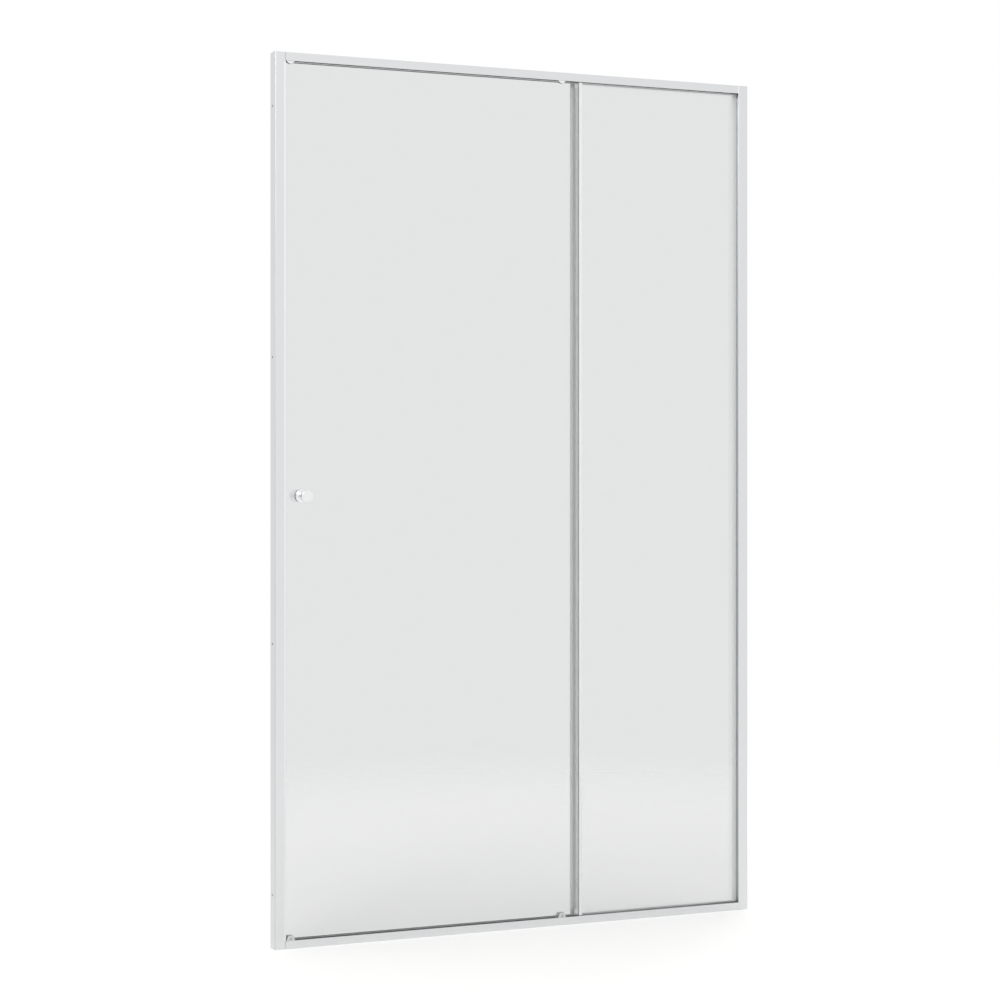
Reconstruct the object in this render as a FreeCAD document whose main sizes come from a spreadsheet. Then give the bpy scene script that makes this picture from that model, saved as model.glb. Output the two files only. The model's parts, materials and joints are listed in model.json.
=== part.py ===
"""Framed sliding shower door for an alcove: fixed pane behind, sliding pane in front.

X runs along the door, -Y faces the room, Z is up and the sill stands on Z = 0.
The sliding pane hangs on two grooved wheels in the head rail and is guided by
two sprung wheels in the sill rail. All lengths are millimetres.
"""
import FreeCAD, Part
import os
import re

import Sketcher

# Driving dimensions, one cell of the sheet each
SIZES = {
    # outer frame
    "frame_width": 1200.0,
    "frame_height": 2000.0,
    "frame_depth": 34.0,
    "profile_wall": 1.6,
    "edge_round": 1.2,
    "jamb_face": 25.0,
    "jamb_reveal": 1.5,
    "head_face": 19.0,
    "sill_face": 18.0,
    "divider_wall": 1.4,
    "fin_reach": 6.0,
    "fin_notch_gap": 0.4,
    "tongue_slip": 0.1,
    "weep_width": 12.0,
    "weep_height": 3.0,
    "weep_pitch": 300.0,
    # wall channels and their holes
    "channel_depth": 12.0,
    "channel_wall": 1.8,
    "channel_slip": 0.2,
    "web_gap": 1.6,
    "wall_hole_radius": 2.6,
    "wall_hole_outer": 880.0,
    "wall_hole_inner": 320.0,
    # fasteners of the frame
    "port_radius": 2.8,
    "port_bore": 1.7,
    "port_sink": 0.4,
    "port_slot": 1.2,
    "screw_slip": 0.1,
    "corner_screw_length": 16.0,
    "corner_screw_head": 3.2,
    "corner_screw_rise": 2.2,
    "jamb_screw_radius": 1.75,
    "jamb_screw_head": 3.2,
    "jamb_screw_rise": 1.8,
    "jamb_screw_length": 7.0,
    "jamb_screw_inset": 7.5,
    "jamb_screw_spread": 800.0,
    "screw_cap_wall": 0.8,
    # panes and their seals
    "glass_thick": 6.0,
    "glass_arris": 0.5,
    "door_width": 736.0,
    "door_clear": 6.4,
    "door_edge_room": 4.8,
    "pane_overlap": 18.0,
    "fixed_edge_room": 3.8,
    "seat_gap": 0.05,
    "gasket_base": 1.0,
    "gasket_slip": 0.2,
    "seal_wall": 0.8,
    "seal_grip": 7.0,
    "seal_nose": 1.3,
    "seal_end_gap": 1.0,
    "strike_wall": 1.0,
    "strike_bulb": 2.6,
    "hook_wall": 1.2,
    "hook_reach": 14.0,
    "hook_gap": 0.9,
    "hook_pass_gap": 6.0,
    # depth stack of the running gear, from the front lip to the divider
    "lip_gap": 0.8,
    "clamp_head": 1.8,
    "carrier_plate": 2.0,
    "plunger_slip": 0.1,
    "plunger_plate": 1.7,
    "wheel_gap": 0.5,
    "wheel_width": 4.4,
    "divider_gap": 0.6,
    # wheels, bearings and axles
    "wheel_radius": 7.2,
    "groove_radius": 6.0,
    "groove_floor": 1.2,
    "groove_mouth": 3.4,
    "wheel_lift": 0.3,
    "bearing_radius": 3.5,
    "bearing_width": 3.0,
    "bearing_shield": 0.2,
    "bearing_race": 0.5,
    "bearing_recess": 0.4,
    "bearing_fit": 0.02,
    "axle_radius": 1.5,
    "axle_fit": 0.05,
    "axle_head": 2.4,
    "axle_head_rise": 0.8,
    "axle_collar": 2.2,
    "axle_end_gap": 0.1,
    "head_recess_gap": 0.5,
    # running ridges
    "flange_wall": 1.4,
    "flange_gap": 0.4,
    "ridge_radius": 1.0,
    "head_ridge": 2.0,
    "sill_ridge": 4.8,
    # top rollers
    "roller_left_inset": 18.0,
    "roller_right_inset": 51.0,
    "hub_rise": 4.0,
    "hub_radius": 10.0,
    "hub_boss": 6.0,
    "hub_edge": 10.0,
    "clamp_shank": 2.5,
    "clamp_key": 2.4,
    "clamp_key_depth": 1.0,
    "bush_slip": 0.1,
    "bush_wall": 0.8,
    "bush_end_gap": 0.1,
    # bottom guides
    "guide_rise": 4.0,
    "guide_half_width": 10.5,
    "guide_top_half_width": 6.0,
    "guide_skirt": 12.0,
    "guide_crown": 6.5,
    "guide_shoulder": 1.0,
    "guide_round": 0.9,
    "guide_wall": 1.2,
    "guide_boss": 3.0,
    "guide_back_slip": 0.4,
    "guide_sill_gap": 0.5,
    "guide_travel": 3.0,
    "cover_top_half_width": 5.3,
    "cover_screw_radius": 1.5,
    "cover_screw_head": 2.6,
    "cover_screw_sink": 1.2,
    "plunger_side_slip": 0.2,
    "plunger_foot": 4.6,
    "plunger_top_half_width": 5.0,
    "shelf_gap": 0.7,
    "shelf_wall": 1.0,
    "shelf_half_width": 4.0,
    "spring_wire": 0.2,
    "spring_radius": 1.7,
    "spring_turns": 5.0,
    "spring_seat_gap": 0.1,
    # end stops in the head track
    "open_stop_room": 45.1,
    "stop_gap": 0.5,
    "stop_length": 12.0,
    "stop_height": 10.0,
    "stop_slip": 0.2,
    # knobs
    "knob_inset": 43.5,
    "knob_height": 1010.0,
    "knob_washer_radius": 14.0,
    "knob_washer_wall": 0.8,
    "rose_radius": 15.0,
    "rose_wall": 3.0,
    "neck_radius": 8.85,
    "neck_length": 20.0,
    "neck_round": 3.0,
    "knob_flare": 9.0,
    "knob_radius": 13.75,
    "knob_rim": 11.0,
    "knob_chamfer": 1.6,
    "knob_stud_radius": 3.0,
    "knob_stud_grip": 14.0,
}

# Places that follow from the sizes, each a formula of sizes and other places
PLACES = {
    # across the depth, from the room side
    "front_y": "-frame_depth / 2",
    "rear_y": "frame_depth / 2",
    "lip_y": "front_y + profile_wall",
    "rear_wall_y": "rear_y - profile_wall",
    "door_front_y": "lip_y + lip_gap + clamp_head",
    "door_rear_y": "door_front_y + glass_thick",
    "carrier_rear_y": "door_rear_y + carrier_plate",
    "plunger_front_y": "carrier_rear_y + plunger_slip",
    "plunger_rear_y": "plunger_front_y + plunger_plate",
    "wheel_front_y": "plunger_rear_y + wheel_gap",
    "wheel_rear_y": "wheel_front_y + wheel_width",
    "ridge_y": "wheel_front_y + wheel_width / 2",
    "divider_front_y": "wheel_rear_y + divider_gap",
    "divider_rear_y": "divider_front_y + divider_wall",
    "fixed_mid_y": "(divider_rear_y + rear_wall_y) / 2",
    "fixed_front_y": "fixed_mid_y - glass_thick / 2",
    "fixed_rear_y": "fixed_mid_y + glass_thick / 2",
    "door_seat_front_y": "door_front_y - seat_gap",
    "door_seat_rear_y": "door_rear_y + seat_gap",
    "fixed_seat_front_y": "fixed_front_y - seat_gap",
    "fixed_seat_rear_y": "fixed_rear_y + seat_gap",
    "tongue_y": "rear_wall_y - tongue_slip",
    "channel_y": "rear_wall_y - channel_slip",
    # along the width
    "wall_x": "frame_width / 2",
    "jamb_x": "wall_x - jamb_face",
    "web_depth": "channel_depth + web_gap",
    "web_x": "wall_x - web_depth - profile_wall",
    "door_left_x": "door_edge_room - web_x",
    "door_right_x": "door_left_x + door_width",
    "fixed_left_x": "door_right_x - pane_overlap",
    "fixed_right_x": "web_x - fixed_edge_room",
    "roller_left_x": "door_left_x + roller_left_inset",
    "roller_right_x": "door_right_x - roller_right_inset",
    "knob_x": "door_left_x + knob_inset",
    "closed_stop_x": "roller_left_x - wheel_radius - stop_gap - stop_length",
    "open_stop_x": "web_x - open_stop_room - stop_length",
    # up the height
    "head_top_z": "frame_height",
    "head_low_z": "head_top_z - head_face",
    "flange_top_z": "head_low_z + flange_wall",
    "head_ridge_z": "flange_top_z + head_ridge",
    "top_axle_z": "head_ridge_z + wheel_lift + groove_radius",
    "hub_z": "head_low_z + hub_rise",
    "sill_ridge_z": "profile_wall + sill_ridge",
    "bottom_axle_z": "sill_ridge_z + wheel_lift + groove_radius",
    "guide_z": "sill_face + guide_rise",
    "guide_low_z": "guide_z - guide_skirt",
    "guide_top_z": "guide_z + guide_crown",
    "guide_shelf_z": "bottom_axle_z + wheel_radius + shelf_gap",
    "sill_port_z": "profile_wall + port_radius - port_sink",
    "head_port_z": "head_top_z - profile_wall - port_radius + port_sink",
    "fixed_low_z": "sill_port_z + port_radius + gasket_slip + gasket_base",
    "fixed_top_z": "head_port_z - port_radius - gasket_slip - gasket_base",
    "door_low_z": "profile_wall + door_clear",
    "door_top_z": "hub_z + hub_edge",
    "seal_low_z": "sill_face + seal_end_gap",
    "seal_top_z": "head_low_z - seal_end_gap",
    # bores that follow from what goes through them
    "hub_hole": "hub_boss + bush_slip + bush_wall + bush_slip",
    "guide_hole": "guide_boss + bush_slip + bush_wall + bush_slip",
    "knob_hole": "knob_stud_radius + bush_slip + bush_wall + bush_slip",
    "bearing_bore": "axle_radius + axle_fit",
}

WORD = re.compile(r"[a-z][a-z_]*")

# Two places closer than this count as the same
SAME = 0.01

doc = FreeCAD.newDocument("SlidingShowerDoor")
sheet = doc.addObject("Spreadsheet::Sheet", "dim")
for row, (size_name, size) in enumerate(SIZES.items(), 1):
    sheet.set(f"A{row}", size_name)
    sheet.set(f"B{row}", str(size))
    sheet.setAlias(f"B{row}", size_name)
doc.recompute()

sub_parts = []


def formula(text):
    """Spell a formula out in terms of the sheet's cells."""

    def spell(match):
        word = match.group()
        if word in PLACES:
            return "(" + formula(PLACES[word]) + ")"
        return "dim." + word

    return WORD.sub(spell, text)


def value(text):
    """Work a formula out as a number."""
    return float(sheet.evalExpression(formula(text)))


def place(thing, x="0", y="0", z="0"):
    """Tie an object's position to the sheet."""
    for axis, text in zip("xyz", (x, y, z)):
        thing.setExpression(f"Placement.Base.{axis}", formula(text))


def start(name, x="0", y="0", z="0", listed=True):
    """Start a body at a place; a listed one is a sub-part of its own."""
    piece = doc.addObject("PartDesign::Body", name)
    piece.Label = name
    place(piece, x, y, z)
    if listed:
        sub_parts.append(piece)
    return piece


def group(name, members):
    """Make one sub-part of several like solids."""
    together = doc.addObject("Part::Compound", name)
    together.Label = name
    together.Links = members
    sub_parts.append(together)


def draw(piece, plane, level="0"):
    """Start a sketch on one of the body's own planes, moved along the plane's normal."""
    sketch = piece.newObject("Sketcher::SketchObject", piece.Name + "_sketch")
    plane_object = next(f for f in piece.Origin.OriginFeatures if f.Role == plane)
    sketch.AttachmentSupport = [(plane_object, "")]
    sketch.MapMode = "FlatFace"
    sketch.setExpression("AttachmentOffset.Base.z", formula(level))
    return sketch


def pin(sketch, edge, end, x, y):
    """Tie a point of a sketch to its two coordinates."""
    for kind, text in (("DistanceX", x), ("DistanceY", y)):
        index = sketch.addConstraint(Sketcher.Constraint(kind, -1, 1, edge, end, value(text)))
        sketch.setExpression(f"Constraints[{index}]", formula(text))


def outline(sketch, points):
    """Draw a closed polygon through points given as pairs of formulas."""
    corners = [FreeCAD.Vector(value(x), value(y), 0) for x, y in points]
    first = sketch.GeometryCount
    count = len(points)
    for i in range(count):
        sketch.addGeometry(Part.LineSegment(corners[i], corners[(i + 1) % count]), False)
    for i in range(count):
        sketch.addConstraint(Sketcher.Constraint("Coincident", first + i, 2, first + (i + 1) % count, 1))
    for i, (x, y) in enumerate(points):
        pin(sketch, first + i, 1, x, y)


def block(sketch, x_low, x_high, y_low, y_high):
    """Draw a rectangle."""
    outline(sketch, [(x_low, y_low), (x_high, y_low), (x_high, y_high), (x_low, y_high)])


def ring(sketch, x, y, radius):
    """Draw a circle."""
    centre = FreeCAD.Vector(value(x), value(y), 0)
    edge = sketch.addGeometry(Part.Circle(centre, FreeCAD.Vector(0, 0, 1), value(radius)), False)
    pin(sketch, edge, 3, x, y)
    index = sketch.addConstraint(Sketcher.Constraint("Radius", edge, value(radius)))
    sketch.setExpression(f"Constraints[{index}]", formula(radius))


def pad(piece, sketch, length):
    """Extrude a sketch along its normal."""
    feature = piece.newObject("PartDesign::Pad", piece.Name + "_pad")
    feature.Profile = sketch
    feature.setExpression("Length", formula(length))
    piece.Tip = feature
    doc.recompute()


def cut(piece, sketch, length):
    """Cut a sketch into the body against its normal, and see that it removes material."""
    before = piece.Shape.Volume
    feature = piece.newObject("PartDesign::Pocket", piece.Name + "_cut")
    feature.Profile = sketch
    feature.setExpression("Length", formula(length))
    piece.Tip = feature
    doc.recompute()
    if piece.Shape.Volume >= before:
        raise ValueError(f"a cut in {piece.Label} removes nothing")


def turn(piece, profile, plane="XY_Plane", axis="V_Axis"):
    """Revolve a closed profile about an axis of its sketch."""
    sketch = draw(piece, plane)
    outline(sketch, profile)
    feature = piece.newObject("PartDesign::Revolution", piece.Name + "_turn")
    feature.Profile = sketch
    feature.ReferenceAxis = (sketch, [axis])
    feature.Angle = 360
    piece.Tip = feature
    doc.recompute()


def dress(piece, kind, size_property, size, wanted):
    """Round or bevel the edges of the body that a test picks out."""
    base = piece.Tip
    edges = [f"Edge{i}" for i, edge in enumerate(base.Shape.Edges, 1) if wanted(edge)]
    if not edges:
        raise ValueError(f"no edge to dress on {piece.Label}")
    feature = piece.newObject(kind, piece.Name + "_dressing")
    feature.Base = (base, edges)
    feature.setExpression(size_property, formula(size))
    piece.Tip = feature
    doc.recompute()


def round_edges(piece, radius, wanted):
    dress(piece, "PartDesign::Fillet", "Radius", radius, wanted)


def bevel_edges(piece, size, wanted):
    dress(piece, "PartDesign::Chamfer", "Size", size, wanted)


def from_wall(side, depth):
    """Formula of the X that lies a depth inside the wall on one side."""
    return f"-wall_x + ({depth})" if side == "left" else f"wall_x - ({depth})"


def spread(x_one, x_two):
    """Order two X formulas from low to high, for lengths along X."""
    return (x_one, x_two) if value(x_one) < value(x_two) else (x_two, x_one)


def front_corners(edge):
    """Long outer edges on the room face of an extrusion."""
    box = edge.BoundBox
    return edge.Length > value("jamb_face + head_face") and abs(box.YMax - value("front_y")) < SAME


def upright_at(x):
    """Test for the upright edges of a strip that lie at one X."""
    at, long = value(x), value("seal_grip")
    return lambda edge: edge.BoundBox.ZLength > long and abs(edge.BoundBox.Center.x - at) < SAME


def wall_channel(side):
    """U channel that is screwed to the wall and takes up the wall's run."""
    piece = start(f"{side}_wall_channel")
    wall, inside, tip = (from_wall(side, d) for d in ("0", "channel_wall", "channel_depth"))
    sketch = draw(piece, "XY_Plane")
    outline(sketch, [
        (wall, "-channel_y"), (tip, "-channel_y"), (tip, "channel_wall - channel_y"),
        (inside, "channel_wall - channel_y"), (inside, "channel_y - channel_wall"),
        (tip, "channel_y - channel_wall"), (tip, "channel_y"), (wall, "channel_y"),
    ])
    pad(piece, sketch, "frame_height")
    holes = draw(piece, "YZ_Plane", spread(wall, inside)[1])
    for offset in ("wall_hole_outer", "wall_hole_inner"):
        for sign in "+-":
            ring(holes, "0", f"frame_height / 2 {sign} {offset}", "wall_hole_radius")
    cut(piece, holes, "channel_wall")
    screw_holes = draw(piece, "XZ_Plane", "channel_wall - channel_y")
    for z in jamb_screw_heights():
        ring(screw_holes, from_wall(side, "jamb_screw_inset"), z, "jamb_screw_radius + screw_slip")
    cut(piece, screw_holes, "channel_wall + screw_slip")


def jamb_screw_heights():
    return [f"frame_height / 2 {step}" for step in ("- jamb_screw_spread", "", "+ jamb_screw_spread")]


def jamb(side):
    """Upright extrusion: flanges over the wall channel, a pocket and a glazing fin inside."""
    piece = start(f"{side}_jamb")
    depths = ("jamb_reveal", "web_depth", "web_depth + profile_wall", "jamb_face", "jamb_face + fin_reach")
    out, web_out, web_in, tip, fin = (from_wall(side, d) for d in depths)
    sketch = draw(piece, "XY_Plane")
    outline(sketch, [
        (out, "front_y"), (tip, "front_y"), (tip, "lip_y"), (web_in, "lip_y"),
        (web_in, "divider_front_y"), (fin, "divider_front_y"),
        (fin, "divider_rear_y"), (web_in, "divider_rear_y"),
        (web_in, "rear_wall_y"), (tip, "rear_wall_y"), (tip, "rear_y"), (out, "rear_y"),
        (out, "rear_wall_y"), (web_out, "rear_wall_y"), (web_out, "lip_y"), (out, "lip_y"),
    ])
    pad(piece, sketch, "frame_height")
    round_edges(piece, "edge_round", front_corners)
    clear_of = "guide_top_z" if side == "left" else "sill_face"
    for level, length in ((f"{clear_of} + fin_notch_gap", f"{clear_of} + fin_notch_gap"),
                          ("frame_height", "head_face + fin_notch_gap")):
        notch = draw(piece, "XY_Plane", level)
        low, high = spread(web_in, from_wall(side, "jamb_face + fin_reach + fin_notch_gap"))
        block(notch, low, high, "divider_front_y - tongue_slip", "divider_rear_y + tongue_slip")
        cut(piece, notch, length)
    holes = draw(piece, "YZ_Plane", spread(web_out, web_in)[1])
    for z in ("sill_port_z", "head_port_z"):
        ring(holes, "fixed_mid_y", z, "port_bore + screw_slip")
    cut(piece, holes, "profile_wall")
    screw_holes = draw(piece, "XZ_Plane", "-rear_wall_y")
    for z in jamb_screw_heights():
        ring(screw_holes, from_wall(side, "jamb_screw_inset"), z, "jamb_screw_radius + screw_slip")
    cut(piece, screw_holes, "profile_wall")


def trim_tongues(piece, z_low, z_high):
    """Cut a rail's lip and rear wall back at both ends, so that its core enters the jambs."""
    ends = draw(piece, "XY_Plane", z_high)
    for low, high in (("-web_x", "-jamb_x"), ("jamb_x", "web_x")):
        block(ends, low, high, "front_y - tongue_slip", "-tongue_y")
        block(ends, low, high, "tongue_y", "rear_y + tongue_slip")
    cut(piece, ends, f"({z_high}) - ({z_low})")


def screw_port(piece, z, slot_low, slot_high):
    """Slotted round port along a rail, into which the corner screws cut their thread."""
    boss = draw(piece, "YZ_Plane", "-web_x")
    ring(boss, "fixed_mid_y", z, "port_radius")
    pad(piece, boss, "2 * web_x")
    bore = draw(piece, "YZ_Plane", "web_x")
    ring(bore, "fixed_mid_y", z, "port_bore")
    cut(piece, bore, "2 * web_x")
    slot = draw(piece, "YZ_Plane", "web_x")
    block(slot, "fixed_mid_y - port_slot / 2", "fixed_mid_y + port_slot / 2", slot_low, slot_high)
    cut(piece, slot, "2 * web_x")


def round_ridge(piece, z_top):
    """Round the top of the ridge that the wheels run on."""
    crown = draw(piece, "YZ_Plane", "-web_x")
    ring(crown, "ridge_y", f"{z_top} - ridge_radius", "ridge_radius")
    pad(piece, crown, "2 * web_x")


def head_rail():
    """Top extrusion: front lip, running flange with its ridge, divider and glazing groove."""
    piece = start("head_rail")
    sketch = draw(piece, "YZ_Plane", "-web_x")
    tip_y = "plunger_rear_y + flange_gap"
    ceiling = "head_top_z - profile_wall"
    stem = "head_ridge_z - ridge_radius"
    outline(sketch, [
        ("front_y", "head_low_z"), ("lip_y", "head_low_z"), ("lip_y", ceiling),
        ("divider_front_y", ceiling), ("divider_front_y", "flange_top_z"),
        ("ridge_y + ridge_radius", "flange_top_z"), ("ridge_y + ridge_radius", stem),
        ("ridge_y - ridge_radius", stem), ("ridge_y - ridge_radius", "flange_top_z"),
        (tip_y, "flange_top_z"), (tip_y, "head_low_z"),
        ("divider_rear_y", "head_low_z"), ("divider_rear_y", ceiling),
        ("rear_wall_y", ceiling), ("rear_wall_y", "head_low_z"),
        ("rear_y", "head_low_z"), ("rear_y", "head_top_z"), ("front_y", "head_top_z"),
    ])
    pad(piece, sketch, "2 * web_x")
    round_edges(piece, "edge_round", front_corners)
    round_ridge(piece, "head_ridge_z")
    screw_port(piece, "head_port_z", "head_port_z - port_radius - port_sink", "head_port_z")
    trim_tongues(piece, "head_low_z", "head_top_z")


def sill_rail():
    """Bottom extrusion: front lip, running ridge, divider, glazing groove and weep slots."""
    piece = start("sill_rail")
    sketch = draw(piece, "YZ_Plane", "-web_x")
    stem = "sill_ridge_z - ridge_radius"
    outline(sketch, [
        ("front_y", "0"), ("rear_y", "0"), ("rear_y", "sill_face"), ("rear_wall_y", "sill_face"),
        ("rear_wall_y", "profile_wall"), ("divider_rear_y", "profile_wall"),
        ("divider_rear_y", "sill_face"), ("divider_front_y", "sill_face"),
        ("divider_front_y", "profile_wall"), ("ridge_y + ridge_radius", "profile_wall"),
        ("ridge_y + ridge_radius", stem), ("ridge_y - ridge_radius", stem),
        ("ridge_y - ridge_radius", "profile_wall"), ("lip_y", "profile_wall"),
        ("lip_y", "sill_face"), ("front_y", "sill_face"),
    ])
    pad(piece, sketch, "2 * web_x")
    round_edges(piece, "edge_round", front_corners)
    round_ridge(piece, "sill_ridge_z")
    screw_port(piece, "sill_port_z", "sill_port_z", "sill_port_z + port_radius + port_sink")
    trim_tongues(piece, "0", "sill_face")
    weeps = draw(piece, "XZ_Plane", "-divider_front_y + tongue_slip")
    for step in ("-1.5", "-0.5", "0.5", "1.5"):
        middle = f"{step} * weep_pitch"
        block(weeps, f"{middle} - weep_width / 2", f"{middle} + weep_width / 2",
              "profile_wall", "profile_wall + weep_height")
    cut(piece, weeps, "rear_y - divider_front_y + 2 * tongue_slip")


def corner_screws():
    """Self-tapping screws through the jamb webs into the ports of head and sill."""
    screws = []
    for side, direction in (("left", ""), ("right", "-")):
        for z in ("sill_port_z", "head_port_z"):
            screw = start(f"corner_screw_{len(screws) + 1}", from_wall(side, "web_depth"),
                          "fixed_mid_y", z, listed=False)
            shank, head = "port_bore - screw_slip", "corner_screw_head"
            turn(screw, [
                (f"{direction}corner_screw_length", "0"), (f"-({direction}corner_screw_rise)", "0"),
                (f"-({direction}corner_screw_rise)", f"{head} / 2"), ("0", head), ("0", shank),
                (f"{direction}corner_screw_length - ({direction}{shank})", shank),
            ], axis="H_Axis")
            screws.append(screw)
    group("corner_screws", screws)


def jamb_screws():
    """Pan-head screws from inside through jamb and wall channel, and their push-on caps."""
    screws, caps = [], []
    for side in ("left", "right"):
        for z in jamb_screw_heights():
            spot = (from_wall(side, "jamb_screw_inset"), "rear_y", z)
            screw = start(f"jamb_screw_{len(screws) + 1}", *spot, listed=False)
            turn(screw, [
                ("0", "-jamb_screw_length"), ("jamb_screw_radius / 2", "-jamb_screw_length"),
                ("jamb_screw_radius", "jamb_screw_radius - jamb_screw_length"),
                ("jamb_screw_radius", "0"), ("jamb_screw_head", "0"),
                ("jamb_screw_head", "jamb_screw_rise / 2"), ("jamb_screw_head / 2", "jamb_screw_rise"),
                ("0", "jamb_screw_rise"),
            ])
            screws.append(screw)
            cap = start(f"jamb_screw_cap_{len(caps) + 1}", *spot, listed=False)
            inner = "jamb_screw_head + screw_slip"
            ceiling = "jamb_screw_rise + screw_slip"
            turn(cap, [
                (inner, "0"), (f"{inner} + screw_cap_wall", "0"),
                (f"{inner} + screw_cap_wall", "jamb_screw_rise / 2"),
                ("jamb_screw_head", f"{ceiling} + screw_cap_wall"), ("0", f"{ceiling} + screw_cap_wall"),
                ("0", ceiling), (inner, ceiling),
            ])
            caps.append(cap)
    group("jamb_screws", screws)
    group("jamb_screw_caps", caps)


def pane_rim(edge):
    """Outer edges of a pane's two faces, which get an arris."""
    return edge.BoundBox.YLength < value("glass_thick") / 2


def door_glass():
    """Sliding pane with a hole for each roller, each guide and the knob."""
    piece = start("door_glass")
    sketch = draw(piece, "XZ_Plane", "-door_rear_y")
    block(sketch, "door_left_x", "door_right_x", "door_low_z", "door_top_z")
    pad(piece, sketch, "glass_thick")
    bevel_edges(piece, "glass_arris", pane_rim)
    holes = draw(piece, "XZ_Plane", "-door_front_y")
    for x in ("roller_left_x", "roller_right_x"):
        ring(holes, x, "hub_z", "hub_hole")
        ring(holes, x, "guide_z", "guide_hole")
    ring(holes, "knob_x", "knob_height", "knob_hole")
    cut(piece, holes, "glass_thick")


def fixed_glass():
    """Fixed pane, held in the right jamb, the head and the sill."""
    piece = start("fixed_glass")
    sketch = draw(piece, "XZ_Plane", "-fixed_rear_y")
    block(sketch, "fixed_left_x", "fixed_right_x", "fixed_low_z", "fixed_top_z")
    pad(piece, sketch, "glass_thick")
    bevel_edges(piece, "glass_arris", pane_rim)


def channel_gasket(name, plane, level, length, turned_over, edge, tip):
    """U gasket that grips the fixed pane; edge and tip lie along the pane's own plane."""
    piece = start(name)
    sketch = draw(piece, plane, level)
    outward = "+" if turned_over else "-"
    base, floor = (f"({edge}) {outward} {depth}" for depth in ("gasket_base", "seat_gap"))
    front, rear = "divider_rear_y", "rear_wall_y"
    points = [
        (front, base), (rear, base), (rear, tip), ("fixed_seat_rear_y", tip),
        ("fixed_seat_rear_y", floor), ("fixed_seat_front_y", floor), ("fixed_seat_front_y", tip),
        (front, tip),
    ]
    if plane == "XY_Plane":
        points = [(along, across) for across, along in points]
    outline(sketch, points)
    pad(piece, sketch, length)


def fixed_gaskets():
    """Glazing gaskets of the fixed pane in sill, head and right jamb."""
    left = "fixed_left_x"
    run = "fixed_right_x - fixed_left_x"
    channel_gasket("fixed_sill_gasket", "YZ_Plane", left, run, False,
                   "fixed_low_z", "sill_face - gasket_slip")
    channel_gasket("fixed_head_gasket", "YZ_Plane", left, run, True,
                   "fixed_top_z", "head_low_z + gasket_slip")
    channel_gasket("fixed_jamb_gasket", "XY_Plane", "sill_face + gasket_slip",
                   "head_low_z - sill_face - 2 * gasket_slip", True, "fixed_right_x",
                   "jamb_x - fin_reach + gasket_slip")


def strike_seal():
    """Soft buffer strip in the left jamb, which the closed door meets."""
    piece = start("strike_seal")
    sketch = draw(piece, "XY_Plane", "seal_low_z")
    middle = "(door_front_y + door_rear_y) / 2"
    outline(sketch, [
        ("-web_x", "door_front_y"), ("-web_x", "door_rear_y"),
        ("strike_wall - web_x", "door_rear_y"), ("strike_wall - web_x", f"{middle} + strike_bulb / 2"),
        ("strike_bulb - web_x", f"{middle} + strike_bulb / 4"),
        ("strike_bulb - web_x", f"{middle} - strike_bulb / 4"),
        ("strike_wall - web_x", f"{middle} - strike_bulb / 2"), ("strike_wall - web_x", "door_front_y"),
    ])
    pad(piece, sketch, "seal_top_z - seal_low_z")
    round_edges(piece, "strike_bulb / 4", upright_at("strike_bulb - web_x"))


def leading_edge_seal():
    """Clip-on seal on the closing edge of the door, with a rounded nose."""
    piece = start("leading_edge_seal")
    sketch = draw(piece, "XY_Plane", "seal_low_z")
    front, rear = "door_seat_front_y - seal_wall", "door_seat_rear_y + seal_wall"
    tip, nose, edge = "door_left_x + seal_grip", "door_left_x - seal_nose", "door_left_x - seat_gap"
    outline(sketch, [
        (tip, front), ("door_left_x", front), (nose, "door_front_y + seal_wall"),
        (nose, "door_rear_y - seal_wall"), ("door_left_x", rear), (tip, rear),
        (tip, "door_seat_rear_y"), (edge, "door_seat_rear_y"),
        (edge, "door_seat_front_y"), (tip, "door_seat_front_y"),
    ])
    pad(piece, sketch, "seal_top_z - seal_low_z")
    round_edges(piece, "seal_nose / 2", upright_at(nose))


def trailing_edge_seal():
    """Clip-on seal on the rear edge of the door, with a hook that closes against the fixed pane."""
    piece = start("trailing_edge_seal")
    sketch = draw(piece, "XY_Plane", "seal_low_z")
    front, rear = "door_seat_front_y - seal_wall", "door_seat_rear_y + seal_wall"
    tip, nose, edge = "door_right_x - seal_grip", "door_right_x + seal_nose", "door_right_x + seat_gap"
    hook_y = "ridge_y + hook_gap"
    hook_x = "door_right_x + seal_nose - hook_reach"
    outline(sketch, [
        (tip, front), (nose, front), (nose, f"{hook_y} + hook_wall"), (hook_x, f"{hook_y} + hook_wall"),
        (hook_x, hook_y), (f"{nose} - hook_wall", hook_y), (f"{nose} - hook_wall", rear), (tip, rear),
        (tip, "door_seat_rear_y"), (edge, "door_seat_rear_y"),
        (edge, "door_seat_front_y"), (tip, "door_seat_front_y"),
    ])
    pad(piece, sketch, "seal_top_z - seal_low_z")
    round_edges(piece, "seal_wall / 2", upright_at(nose))


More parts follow.
